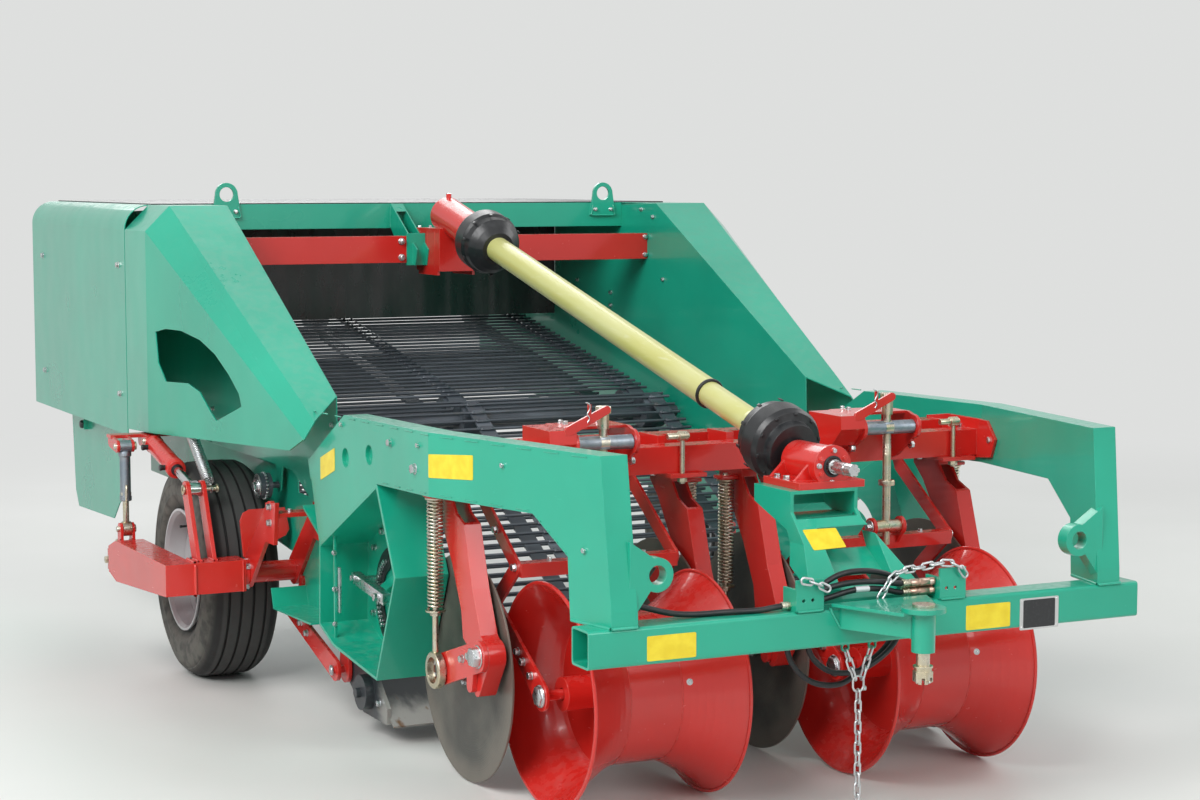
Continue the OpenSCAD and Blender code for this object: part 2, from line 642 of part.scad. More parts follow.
// Lower side plate ahead of the wheel, with its bent flange
module sill_2d() polygon([[1164, 604], [1164, 340], [1244, 326], [1625, 316], [1647, 382], [1700, 420],
    [1716, 690], [1500, 690], [1170, 640]]);

sill_out = wall_in - 21;

module side_walls() color(green) placed() both_sides() {
    along_x(wall_in, wall_in + sheet) {
        wall_2d();
        link_2d(idler, [1835, 800], 26, 40);
    }
    along_x(sill_out - sheet, sill_out) sill_2d();
    block([sill_out, 1200, 625], [wall_in + sheet, 1400, 645]);
    // Flange along the front edge of the wall, level with the beam
    along_x(wall_in, beam_out) polygon([[1222, 798], [1231, 798], [1253, 862], [1244, 862]]);
    along_x(sill_out, beam_out) polygon([[1244, 326], [1625, 316], [1647, 382], [1641, 384], [1620, 322], [1245, 332]]);
    // Stay between the lower plate and the wall
    along_x(sill_out, beam_out - 30) polygon([[1240, 610], [1400, 684], [1400, 692], [1236, 618]]);
}

// Hood: sloping top strip, bevel and side panel with its kidney-shaped window
hood_tip = [1245, 890];
hood_rear_y = 2676;
hood_knee_y = 2399;
bevel = 90;
// Stations of the bevel from the front to the rear
Y = 0;
SIDE_X = 1;
SIDE_Z = 2;
TOP_X = 3;
TOP_Z = 4;
bevel_line = [[1140, 1021.2, 935, 985, 990], [1256, 1034.9, 992.5, 993.8, 1053],
    [hood_knee_y, cover_out, hood_top_z - bevel, cover_out - bevel, hood_top_z],
    [hood_rear_y, cover_out, hood_top_z - bevel, cover_out - bevel, hood_top_z]];

module hood_side_2d() polygon([[hood_rear_y, hood_top_z - bevel], [hood_rear_y, 830], hood_tip, [1140, 935],
    [hood_knee_y, hood_top_z - bevel]]);

module kidney_2d() difference() {
    polygon([[2320, 1207], [2230, 1222], [2091, 1223], [1930, 1200], [1809, 1160], [1700, 1100], [1619, 1041],
        [1600, 1000], [1805, 935], [1850, 960], [1941, 1023], [2040, 1045], [2234, 1037], [2300, 1100]]);
}

// Thin sheet through four corners, thickened inwards and downwards
module quad_sheet(p) {
    inner = [for (q = p) q - 0.75 * sheet * [1, 0, 1]];
    polyhedron(concat(p, inner), [[0, 1, 2], [0, 2, 3], [4, 6, 5], [4, 7, 6], [0, 4, 5], [0, 5, 1],
        [1, 5, 6], [1, 6, 2], [2, 6, 7], [2, 7, 3], [3, 7, 4], [3, 4, 0]]);
}

module hoods() color(green) placed() both_sides() {
    // Sloping strip from the wall edge out to the bevel
    intersection() {
        along_x(wall_in + sheet, cover_out) polygon([[1140, 990], [1256, 1053], [hood_knee_y, hood_top_z],
            [hood_rear_y, hood_top_z], [hood_rear_y, hood_top_z - sheet], [hood_knee_y + 2, hood_top_z - sheet],
            [1258, 1053 - sheet], [1142, 990 - sheet]]);
        linear_extrude(1800) polygon([[wall_in + sheet, 1256], [wall_in + sheet, hood_rear_y],
            [cover_out - bevel, hood_rear_y], [cover_out - bevel, hood_knee_y], [993.8, 1256], [985, 1140]]);
    }
    // Side panel, slanting in towards its front tip
    intersection() {
        difference() {
            along_x(900, cover_out + 20) hood_side_2d();
            along_x(880, cover_out + 30) kidney_2d();
        }
        hood_plan();
    }
    // Bevel between the two
    for (k = [0:2]) let (a = bevel_line[k], b = bevel_line[k + 1]) quad_sheet([[a[SIDE_X], a[Y], a[SIDE_Z]],
        [a[TOP_X], a[Y], a[TOP_Z]], [b[TOP_X], b[Y], b[TOP_Z]], [b[SIDE_X], b[Y], b[SIDE_Z]]]);
}

// Thin upright slab in plan that the side panel follows
module hood_plan() linear_extrude(1800) polygon([[cover_out, hood_rear_y], [cover_out, hood_knee_y], [1020, 1130],
    [1014, 1134], [cover_out - sheet, hood_knee_y + 4], [cover_out - sheet, hood_rear_y]]);

// Section of a rear cover: side sheet, rounded shoulder and top
module cover_section_2d() {
    shoulder = 90;
    difference() {
        union() {
            translate([cover_out - sheet, cover_low_z]) square([sheet, hood_top_z - shoulder - cover_low_z]);
            translate([wall_in + sheet, hood_top_z - sheet]) square([cover_out - shoulder - wall_in - sheet, sheet]);
            translate([cover_out - shoulder, hood_top_z - shoulder]) intersection() {
                difference() {
                    circle(r = shoulder);
                    circle(r = shoulder - sheet);
                }
                square(shoulder);
            }
        }
    }
}

module rear_covers() color(green) placed() both_sides() {
    along_y(cover_front_y, cover_rear_y) cover_section_2d();
    // Rear plate that closes the cover against the wall
    along_y(cover_rear_y - sheet, cover_rear_y) polygon([[wall_in + sheet, cover_low_z], [cover_out - sheet, cover_low_z],
        [cover_out - sheet, hood_top_z - 92], [1080, hood_top_z - sheet], [wall_in + sheet, hood_top_z - sheet]]);
    for (y = [cover_front_y + 90, cover_rear_y - 190], z = [1428, 952]) translate([cover_out, y, z]) bolt_x(9, 7);
}

lower_front_y = 2960;
lower_rear_y = 3830;
lower_x = cover_out - 70;

module lower_covers() color(green) placed() both_sides() {
    along_x(lower_x - sheet, lower_x) polygon([[lower_rear_y, cover_low_z + 10], [lower_rear_y - 42, 470],
        [lower_rear_y - 90, 407], [lower_front_y + 220, 428], [lower_front_y + 130, 500], [lower_front_y, 560],
        [lower_front_y, cover_low_z + 10]]);
    along_x(lower_x, cover_out - sheet) polygon([[lower_front_y, cover_low_z + 2], [lower_rear_y, cover_low_z + 2],
        [lower_rear_y, cover_low_z + 8], [lower_front_y, cover_low_z + 8]]);
    for (y = [lower_front_y + 90, lower_rear_y - 130]) bar_x(wall_in + sheet, lower_x - sheet, y, cover_low_z + 25, 12);
    // Latch of the panel
    block([lower_x, lower_rear_y - 270, 740], [lower_x + 18, lower_rear_y - 230, 790]);
    bar_x(lower_x, lower_x + 30, lower_rear_y - 250, 760, 7);
}

module roof_sheet() color(black) placed()
    block([-1060, beam_y + 10, hood_top_z], [1060, cover_rear_y - 10, hood_top_z + 4]);

curtain_y = 3340;

module curtain() color(black) placed() {
    block([-wall_in + 2, curtain_y - 4, 1172], [wall_in - 2, curtain_y, hood_top_z - 2]);
    block([-wall_in, curtain_y, hood_top_z - 62], [wall_in, curtain_y + 40, hood_top_z - 2]);
}

// Rod web: rods at an even pitch on three belts, upper and lower runs round two rollers
module web(a, b) {
    v = b - a;
    len = norm(v);
    tilt = atan2(v[1], v[0]);
    n = floor(len / rod_pitch);
    belt_r = web_roller_r + 8;
    translate([0, a[0], a[1]]) rotate([tilt, 0, 0]) {
        for (x = [-rod_half + 30, -30, rod_half - 90]) along_x(x, x + 60) difference() {
            link_2d([0, 0], [len, 0], belt_r, belt_r - 0.01);
            link_2d([0, 0], [len, 0], web_roller_r + slack, web_roller_r + slack - 0.01);
        }
        for (s = [-1, 1], k = [0:n]) bar_x(-rod_half, rod_half, k * len / n, s * (belt_r + 1), rod_r);
        for (s = [-1, 1], k = [1:3]) {
            t = k * 45;
            y = s > 0 ? len : 0;
            bar_x(-rod_half, rod_half, y + s * sin(t) * (belt_r + 1), cos(t) * (belt_r + 1), rod_r);
        }
    }
}

module front_web() color(black) placed() web(web_low, web_mid);

module rear_web() color(black) placed() web(web_mid2, web_high);

module web_rollers() color(black) placed() {
    for (p = [web_low, web_mid, web_mid2, web_high]) {
        end = p == web_low ? share_in + share_t : wall_in;
        bar_x(-end, end, p[0], p[1], 20);
        for (x = [-rod_half + 20, -45, rod_half - 110]) bar_x(x, x + 90, p[0], p[1], web_roller_r);
    }
    // Idlers of the drive chain, on hangers below the channel walls
    both_sides() {
        bar_x(wall_in + sheet, 952, idler[0], idler[1], 11);
        bar_x(905, 945, idler[0], idler[1], 43);
    }
}

// Side plates of the share, which lie against the lower side plates and carry the low roller
share_t = 14;
share_in = sill_out - sheet - share_t;
link_pin = [1240, 175];

module share() color(black) placed() {
    along_x(-share_in - 4, share_in + 4) polygon([[862, 62], [868, 56], [1130, 190], [1126, 202]]);
    both_sides() {
        difference() {
            along_x(share_in, share_in + share_t) polygon([[900, 60], [1110, 60], [1200, 110], [1285, 165],
                [1300, 300], [1300, 345], [1200, 350], [1172, 332], [1120, 285], [1080, 262], [900, 110]]);
            bar_x(share_in - 1, share_in + share_t + 1, web_low[0], web_low[1], 20 + run_fit);
            bar_x(share_in - 1, share_in + share_t + 1, link_pin[0], link_pin[1], 12);
        }
        bar_x(share_in - 2, 872, 1060, 135, 56);
        bar_x(share_in - 2, 888, 1060, 135, 16);
    }
}

// Links and pins that set the share, below the side plates
module share_links() color(red) placed() both_sides() {
    rear_pin = [1690, 300];
    along_x(880, 892) union() {
        link_2d(rear_pin, link_pin, 28, 36);
        link_2d([1560, 262], [1560, 290], 26, 24);
    }
    // Straps up to the lower side plate
    along_x(sill_out, 880) polygon([[1530, 290], [1590, 290], [1590, 316.9], [1530, 318.4]]);
    along_x(sill_out, sill_out + 12) {
        link_2d(link_pin, [link_pin[0], 286], 44, 28);
        link_2d(rear_pin, [1662, 400], 24, 14);
    }
    bar_x(share_in + 2, 904, link_pin[0], link_pin[1], 12 - run_fit);
    bar_x(sill_out, 904, rear_pin[0], rear_pin[1], 12);
}

// Row frame: two bars with spacers, end plates and the brackets of the depth spindles
bar_front = 240;
bar_rear = 430;
bar_w = 80;
bar_z = 885;
spindle_y = 127;
trunnion_z = 1000;
bracket_half = 90;

// Inner face of a side beam at a place along the machine
function beam_in(y) = beam_out - beam_w - slant * max(0, fold_y - y);

module row_frame() color(red) placed() {
    end = beam_in(bar_front) - slack;
    difference() {
        union() {
            block([-end + 5, bar_front, bar_z], [end - 5, bar_front + bar_w, bar_z + bar_w]);
            block([-end + 5, bar_rear, bar_z], [end - 5, bar_rear + bar_w, bar_z + bar_w + 14]);
            for (x = [-700, -205, 28, 260, 690])
                block([x, bar_front + bar_w - 6, bar_z + 14], [x + 24, bar_rear + 6, bar_z + bar_w + 24]);
            // End plates, bent to lie along the side beams
            both_sides() intersection() {
                along_x(end - 80, end + 1) polygon([[108, 945], [172, 998], [402, 1000], [520, 985], [520, 880],
                    [268, 873], [140, 887]]);
                linear_extrude(1200) polygon([[beam_in(90) - slack - 10, 90], [end - 10, fold_y], [end - 10, 530],
                    [end, 530], [end, fold_y], [beam_in(90) - slack, 90]]);
            }
            for (u = [-unit_x, unit_x]) {
                for (s = [-1, 1]) along_x(u + (s < 0 ? -bracket_half - 10 : bracket_half), u + (s < 0 ? -bracket_half : bracket_half + 10)) {
                    translate([spindle_y, trunnion_z]) circle(r = 36);
                    polygon([[spindle_y - 32, trunnion_z - 16], [spindle_y - 22, trunnion_z + 28],
                        [spindle_y + 30, trunnion_z + 44], [bar_front + 60, trunnion_z + 44],
                        [bar_front + 60, bar_z + bar_w - 4], [bar_front + 6, bar_z + 6], [bar_front - 24, bar_z + 16]]);
                }
                block([u - bracket_half, spindle_y + 40, trunnion_z + 36], [u + bracket_half, bar_front + 60, trunnion_z + 44]);
                // Folded box beside the left plate, which carries the locking lever
                along_x(u - bracket_half - 92, u - bracket_half - 8) polygon([[92, 1004], [96, 1044],
                    [bar_front + 40, 1044], [bar_front + 40, bar_z + bar_w - 6], [bar_front + 4, bar_z + 40],
                    [150, 950]]);
                // Locking lever from the box up to the head of the spindle, with its tab
                along_y(spindle_y - 33, spindle_y - 25) {
                    link_2d([u - bracket_half - 30, 1042], [u - 4, 1096], 14, 12);
                    translate([u - 62, 1068]) square([9, 46]);
                }
                block([u - bracket_half - 44, spindle_y - 33, 1030], [u - bracket_half - 16, spindle_y - 20, 1044]);
            }
        }
        for (u = [-unit_x, unit_x]) bar_x(u - bracket_half - 14, u + bracket_half + 14, spindle_y, trunnion_z, 12);
    }
}

leg_pivot = [107, 423];
leg_off = disc_off + 15;
leg_w = 52;
clamp_off = 307;
clamp_y = bar_front - 14;

// Outline of a leg in its unit's side view
module leg_side_2d() {
    polygon([[480, bar_z - 6], [478, 840], [425, 792], [325, 650], [262, 527], [250, 450], [150, 400], [70, 440],
        [122, 478], [180, 600], [238, 775], [300, 800], [335, 845], [340, bar_z - 6]]);
    link_2d(leg_pivot, [150, 322], 44, 22);
}

// Legs clamped below the bars, each with the trailing arm and hub of its disc
module disc_legs() color(red) placed() for (u = [-unit_x, unit_x], s = [-1, 1]) translate([u, 0, 0]) scale_x(s) {
    difference() {
        along_x(leg_off, leg_off + leg_w) leg_side_2d();
        along_x(leg_off + 8, leg_off + leg_w - 8) polygon([[150, 500], [196, 610], [252, 790], [310, 816], [348, 862],
            [600, 862], [600, 700], [300, 480]]);
        along_x(leg_off - 1, leg_off + leg_w + 1) translate(leg_pivot) circle(r = 14);
    }
    difference() {
        block([clamp_off - 45, clamp_y - 14, bar_z - 12], [leg_off + leg_w, 500, bar_z]);
        translate([clamp_off, clamp_y, bar_z - 20]) cylinder(r = 7.5, h = 30);
    }
    // Trailing arm from the pivot to the disc hub
    along_x(leg_off + leg_w + side_gap, leg_off + leg_w + side_gap + 14)
        difference() {
            union() {
                link_2d(leg_pivot, [disc_y, disc_z], 44, 46);
                link_2d([160, 420], [170, 330], 26, 20);
            }
            translate(leg_pivot) circle(r = 14);
            translate([disc_y, disc_z]) circle(r = 16);
        }
    bar_x(leg_off - 8, leg_off + leg_w + 32, leg_pivot[0], leg_pivot[1], 13.9);
    translate([leg_off + leg_w + side_gap + 14, leg_pivot[0], leg_pivot[1]]) bolt_x(24, 18);
    difference() {
        bar_x(disc_off + disc_t / 2 + 14, leg_off + leg_w + side_gap, disc_y, disc_z, 34);
        bar_x(disc_off, leg_off + leg_w + 3, disc_y, disc_z, 15 + run_fit);
    }
}

// Mirrors children for the left disc of each unit
module scale_x(s) {
    if (s > 0) children();
    if (s < 0) mirror([1, 0, 0]) children();
}

spring_off = leg_off + leg_w + 30;
spring_y = disc_y;
spring_low = 512;
spring_high = 832;
spring_coils = 19;
spring_r = 25;

// Springs on their rods, each drawn as one turned column with a groove for every coil
module spring_column_2d() {
    pitch = (spring_high - spring_low) / spring_coils;
    collar = spring_r + 4;
    polygon(concat([[0, disc_z + 50], [9, disc_z + 50], [9, spring_low - 6], [collar, spring_low - 6],
        [collar, spring_low]],
        [for (k = [0:spring_coils - 1], p = [0, 1]) [p == 0 ? spring_r - 5 : spring_r, spring_low + (k + p / 2) * pitch]],
        [[spring_r - 5, spring_high], [collar, spring_high], [collar, spring_high + 6], [9, spring_high + 6],
        [9, spring_high + 24], [0, spring_high + 24]]));
}

module disc_springs() color(steel) placed() for (u = [-unit_x, unit_x], s = [-1, 1]) translate([u, 0, 0]) scale_x(s) {
    translate([spring_off, spring_y, 0]) rotate_extrude() spring_column_2d();
    difference() {
        bar_x(spring_off - 12, spring_off + 12, spring_y, disc_z, 54);
        bar_x(spring_off - 13, spring_off + 13, spring_y, disc_z, 38);
    }
    // Arm that carries the top of the spring
    difference() {
        block([leg_off + leg_w, spring_y - 30, spring_high + 6], [spring_off + 30, spring_y + 26, spring_high + 18]);
        translate([spring_off, spring_y, spring_high]) cylinder(r = 9.5, h = 30);
    }
}

// A flat disc with its hub and axle, turning in the trailing arm's hub
module disc(u, s) color(black) placed() translate([u, 0, 0]) scale_x(s) {
    bar_x(disc_off - disc_t / 2, disc_off + disc_t / 2, disc_y, disc_z, disc_r);
    bar_x(disc_off - 14, disc_off + disc_t / 2 + 13, disc_y, disc_z, 55);
    bar_x(disc_off, leg_off + leg_w + 26, disc_y, disc_z, 15);
}

module disc_1() disc(-unit_x, -1);
module disc_2() disc(-unit_x, 1);
module disc_3() disc(unit_x, -1);
module disc_4() disc(unit_x, 1);

fork_off = roller_half + 6;
fork_t = 9;
low_trunnion_z = 700;

// Forks that carry the rollers: side plates, cross beam, ears and stays up to the rear bar
module roller_forks() color(red) placed() for (u = [-unit_x, unit_x]) translate([u, 0, 0]) {
    for (s = [-1, 1]) scale_x(s) along_x(fork_off, fork_off + fork_t) difference() {
        union() {
            link_2d([0, roller_r], [150, 418], 42, 30);
            link_2d([150, 418], [322, 530], 30, 24);
            link_2d([322, 530], [170, 655], 24, 24);
            link_2d([170, 655], [440, 840], 22, 24);
            polygon([[420, 830], [432, bar_z], [490, bar_z], [464, 836]]);
        }
        translate([0, roller_r]) circle(r = 15 + run_fit);
    }
    difference() {
        block([-fork_off - 2, 142, 628], [fork_off + 2, 192, 668]);
        block([-fork_off + 8, 150, 636], [fork_off - 8, 184, 660]);
    }
    // Ears of the lower trunnion
    for (s = [-1, 1]) scale_x(s) along_x(46, 56) difference() {
        union() {
            translate([spindle_y, low_trunnion_z]) circle(r = 28);
            polygon([[spindle_y - 26, low_trunnion_z - 8], [spindle_y + 26, low_trunnion_z + 8], [196, 668], [190, 640], [146, 640]]);
        }
        translate([spindle_y, low_trunnion_z]) circle(r = 12);
    }
}

module depth_spindles() color(steel) placed() for (u = [-unit_x, unit_x]) translate([u, 0, 0]) {
    translate([0, spindle_y, 0]) {
        translate([0, 0, 645]) cylinder(r = spindle_r, h = 455);
        translate([0, 0, 1040]) cylinder(r = spindle_r + 5, h = 44);
        translate([0, 0, 1084]) cylinder(r = 22, h = 20, $fn = 6);
        translate([0, 0, 826]) cylinder(r = 22, h = 14);
        // Trunnions in the bracket above and in the fork below
        bar_x(-bracket_half + side_gap, bracket_half - side_gap, 0, trunnion_z, 20);
        bar_x(-bracket_half - 12, bracket_half + 12, 0, trunnion_z, 12 - run_fit);
        bar_x(-46 + side_gap, 46 - side_gap, 0, low_trunnion_z, 19);
        bar_x(-58, 58, 0, low_trunnion_z, 12 - run_fit);
    }
    // Eyebolts that clamp the legs to the front bar
    for (s = [-1, 1]) {
        bar_between([s * clamp_off, clamp_y, bar_z - 30], [s * clamp_off, clamp_y, bar_z + bar_w + 24], 7);
        bar_x(s * clamp_off - 48, s * clamp_off + 12, clamp_y, bar_z + bar_w + 30, 9);
        translate([s * clamp_off, clamp_y, bar_z - 26]) cylinder(r = 12, h = 12, $fn = 6);
    }
}

// Profile of a ridge roller: straight waist and two flares with a rolled rim
module roller_profile_2d() {
    waist_half = 80;
    flare = roller_half - waist_half;
    steps = 8;
    outer = [for (k = [0:steps]) let (t = k / steps)
        [waist_r + (roller_r - 4 - waist_r) * (0.55 * t + 0.45 * t * t), waist_half + flare * t]];
    polygon(concat(outer, [for (k = [steps:-1:0]) outer[k] - [roller_shell, -0.0]]));
    translate([waist_r - roller_shell, 0]) square([roller_shell, waist_half]);
    translate([roller_r - 5, roller_half - 4]) circle(r = 5, $fn = 16);
    // Web plate and hub inside the waist
    translate([20, waist_half]) square([waist_r - 22, 8]);
    translate([15 + run_fit + 3, 0]) square([30, 190]);
}

module roller(u) color(red) placed() translate([u, 0, roller_r]) {
    for (s = [-1, 1]) scale_x(s) rotate([0, 90, 0]) rotate_extrude($fn = 96) roller_profile_2d();
    bar_x(-fork_off - fork_t - 3, fork_off + fork_t + 3, 0, 0, 15);
    bar_x(-60, 60, 0, 0, 20);
    for (s = [-1, 1]) scale_x(s) translate([fork_off + fork_t + side_gap, 0, 0]) bolt_x(24, 9);
}

module roller_left() roller(-unit_x);
module roller_right() roller(unit_x);

// Bearing plates of the wheel arms, on the side plates
module arm_brackets() color(red) placed() both_sides() {
    for (x = [sill_out, 1010]) along_x(x, x + 14) difference() {
        union() {
            link_2d([arm_y, arm_z], [1480, 660], 50, 40);
            polygon([[1420, 700], [1520, 690], [1560, 560], [1440, 560]]);
        }
        translate([arm_y, arm_z]) circle(r = journal_r + run_fit);
    }
    block([sill_out + 14, 1430, 650], [1010, 1500, 664]);
    // Upper clevis of the cylinder and of the stay, on the hood's side member
    along_x(wall_in + sheet, stay_x + 34) polygon([[2440, 822], [2440, 834], [2500, 834], [2500, 822]]);
    for (x = [cyl_x - 24, cyl_x + 14, stay_x - 31, stay_x + 21]) along_x(x, x + 10) difference() {
        union() {
            link_2d(x < cyl_x + 20 ? [clevis_y, clevis_z] : stay_top, [2470, 812], 22, 22);
        }
        translate([x < cyl_x + 20 ? clevis_y : stay_top[0], x < cyl_x + 20 ? clevis_z : stay_top[1]]) circle(r = 10);
    }
    bar_x(cyl_x - 30, cyl_x + 30, clevis_y, clevis_z, 10 - run_fit);
    bar_x(stay_x - 37, stay_x + 37, stay_top[0], stay_top[1], 10 - run_fit);
}

// L-shaped wheel arm with its journal, crank lever, stub axle and end block
module wheel_arm(s) color(red) placed() scale_x(s) {
    half = arm_h / 2;
    difference() {
        union() {
            block([1040, arm_y - 50, arm_z - half], [arm_corner_x, arm_y + 50, arm_z + half]);
            along_x(arm_corner_x - 100, arm_corner_x) polygon([[arm_y - 50, arm_z - half], [arm_y - 50, arm_z + half],
                [2330, arm_z + half - 6], [2430, 440], [2430, 350], [2330, wheel_z - half]]);
            block([arm_corner_x - 85, 2430, 345], [arm_corner_x - 15, arm_end_y, 420]);
        }
        translate([arm_corner_x - 50, 2462, 300]) cylinder(r = 14, h = 200);
    }
    bar_x(sill_out + 1, 1040, arm_y, arm_z, journal_r);
    bar_x(1024 + side_gap, 1040, arm_y, arm_z, journal_r + 10);
    // Stub axle inwards to the wheel
    bar_x(wheel_x - 40, arm_corner_x - 100, wheel_y, wheel_z, axle_r);
    bar_x(wheel_x + 135, arm_corner_x - 100, wheel_y, wheel_z, axle_r + 16);
    // Crank lever of two flat bars with the cylinder's pin
    for (x = [cyl_x - 34, cyl_x + 20]) along_x(x, x + 14) difference() {
        link_2d([lever_y, lever_z], [arm_y + 20, arm_z + half - 20], 30, 28);
        translate([lever_y, lever_z]) circle(r = 10);
    }
    bar_x(cyl_x - 34, cyl_x + 34, lever_y, lever_z, 10 - run_fit);
    // Ears for the lower eye of the stay, and the vertical pin of the end block
    for (x = [stay_x - 26, stay_x + 16]) along_x(x, x + 10)
        difference() {
            link_2d(stay_low, [2378, 440], 22, 24);
            translate(stay_low) circle(r = 10);
        }
    bar_x(stay_x - 32, stay_x + 32, stay_low[0], stay_low[1], 10 - run_fit);
    translate([arm_corner_x - 50, 2462, 325]) cylinder(r = 14, h = 130);
}

module wheel_arm_left() wheel_arm(-1);
module wheel_arm_right() wheel_arm(1);

// Ribbed implement tyre, turned as one ring, its bore seated on the rim
module tyre_profile_2d() {
    half = tyre_w / 2;
    bead_half = 105;
    difference() {
        polygon([[rim_r - 12, -bead_half], [rim_r + 10, -bead_half - 8], [rim_r + 60, -half], [tyre_r - 70, -half],
            [tyre_r - 25, -half + 16], [tyre_r - 8, -half + 42], [tyre_r, -half + 60], [tyre_r, half - 60],
            [tyre_r - 8, half - 42], [tyre_r - 25, half - 16], [tyre_r - 70, half], [rim_r + 60, half],
            [rim_r + 10, bead_half + 8], [rim_r - 12, bead_half]]);
        for (z = [-66, -24, 18, 60]) translate([tyre_r - 9, z]) square([20, 7]);
    }
}

module tyre(s) color(black) placed() translate([s * wheel_x, wheel_y, wheel_z]) rotate([0, 90, 0])
    rotate_extrude($fn = 96) tyre_profile_2d();

module tyre_left() tyre(-1);
module tyre_right() tyre(1);

// Pressed steel rim with its disc and hub, which turns on the stub axle
module rim(s) color(white) placed() translate([s * wheel_x, wheel_y, wheel_z]) scale_x(s) rotate([0, 90, 0]) {
    difference() {
        union() {
            rotate_extrude($fn = 96) {
                polygon([[rim_r - 12, -110], [rim_r, -118], [rim_r, -124], [rim_r - 8, -124], [rim_r - 18, -112],
                    [rim_r - 24, -90], [rim_r - 34, -60], [rim_r - 34, 60], [rim_r - 24, 90], [rim_r - 18, 112],
                    [rim_r - 8, 124], [rim_r, 124], [rim_r, 118], [rim_r - 12, 110], [rim_r - 12, 105]]);
                polygon([[axle_r + run_fit, 20], [rim_r - 30, 50], [rim_r - 30, 58], [100, 36], [70, 30],
                    [axle_r + run_fit, 30]]);
                polygon([[axle_r + run_fit, -38], [58, -38], [62, -20], [62, 60], [axle_r + run_fit, 60]]);
            }
            for (k = [0:5]) rotate(k * 60) translate([82, 0, 26]) cylinder(r = 12, h = 22, $fn = 6);
        }
        for (k = [0:5]) rotate(k * 60 + 30) translate([140, 0, 20]) cylinder(r = 18, h = 60);
    }
}

module rim_left() rim(-1);
module rim_right() rim(1);

cyl_dir = [lever_y - clevis_y, lever_z - clevis_z];
cyl_len = norm(cyl_dir);
cyl_tilt = atan2(cyl_dir[1], cyl_dir[0]);

// Puts children with their +Y axis from the upper clevis towards the lever's pin
module on_cylinder(s) placed() scale_x(s) translate([cyl_x, clevis_y, clevis_z]) rotate([cyl_tilt, 0, 0]) children();

barrel_len = 330;

module barrel(s) color(red) on_cylinder(s) {
    difference() {
        union() {
            bar_y(40, barrel_len, 0, 0, barrel_r);
            bar_x(-13, 13, 0, 0, 22);
            block([-13, 0, -18], [13, 44, 18]);
        }
        bar_y(60, barrel_len + 1, 0, 0, piston_rod_r + run_fit);
        bar_x(-14, 14, 0, 0, 10);
    }
    for (y = [70, barrel_len - 30]) bar_x(barrel_r - 4, barrel_r + 14, y, 0, 9);
}

module piston_rod(s) color(zinc) on_cylinder(s) difference() {
    union() {
        bar_y(150, cyl_len - 20, 0, 0, piston_rod_r);
        bar_x(-18, 18, cyl_len, 0, 24);
        block([-18, cyl_len - 40, -18], [18, cyl_len, 18]);
    }
    bar_x(-19, 19, cyl_len, 0, 10 + rod_eye_play);
}

module barrel_left() barrel(-1);
module barrel_right() barrel(1);
module rod_left() piston_rod(-1);
module rod_right() piston_rod(1);

stay_len = norm(stay_low - stay_top);
stay_tilt = atan2(stay_low[1] - stay_top[1], stay_low[0] - stay_top[0]);

module on_stay(s) placed() scale_x(s) translate([stay_x, stay_top[0], stay_top[1]]) rotate([stay_tilt, 0, 0]) children();

module stay_sleeve(s) color(zinc) on_stay(s) difference() {
    union() {
        bar_y(15, 195, 0, 0, 19);
        bar_x(-20, 20, 0, 0, 22);
    }
    bar_y(22, 196, 0, 0, 11 + run_fit);
    bar_x(-21, 21, 0, 0, 10);
}

module stay_rod(s) color(zinc) on_stay(s) difference() {
    union() {
        bar_y(95, stay_len - 15, 0, 0, 11);
        bar_x(-15, 15, stay_len, 0, 26);
    }
    bar_x(-16, 16, stay_len, 0, 10 + stay_eye_play);
}

module stay_sleeve_left() stay_sleeve(-1);
module stay_sleeve_right() stay_sleeve(1);
module stay_rod_left() stay_rod(-1);
module stay_rod_right() stay_rod(1);

cross_tube();
side_beams();
hex_boxes();
hitch_nose();
hitch_pin();
hose_brackets();
hose_ends();
hose_feed();
hose_top();
hose_upper();
hose_low();
hose_inner();
hose_outer();
chains();
pto_pedestal();
bearing_housing();
input_shaft();
shaft_guard();
guard_bells();
gearbox();
top_beam();
gearbox_bars();
side_walls();
hoods();
rear_covers();
lower_covers();
roof_sheet();
curtain();
front_web();
rear_web();
web_rollers();
share();
share_links();
row_frame();
disc_legs();
disc_springs();
disc_1();
disc_2();
disc_3();
disc_4();
roller_forks();
depth_spindles();
roller_left();
roller_right();
arm_brackets();
wheel_arm_left();
wheel_arm_right();
tyre_left();
tyre_right();
rim_left();
rim_right();
barrel_left();
barrel_right();
rod_left();
rod_right();
stay_sleeve_left();
stay_sleeve_right();
stay_rod_left();
stay_rod_right();
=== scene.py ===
# Two-row trailed potato digger, as it is parked: a portal drawbar frame, ridge rollers
# and sprung discs, a share and two rod webs under hoods, and two wheels on arms.
import math

import bmesh
import bpy
from mathutils import Matrix, Vector


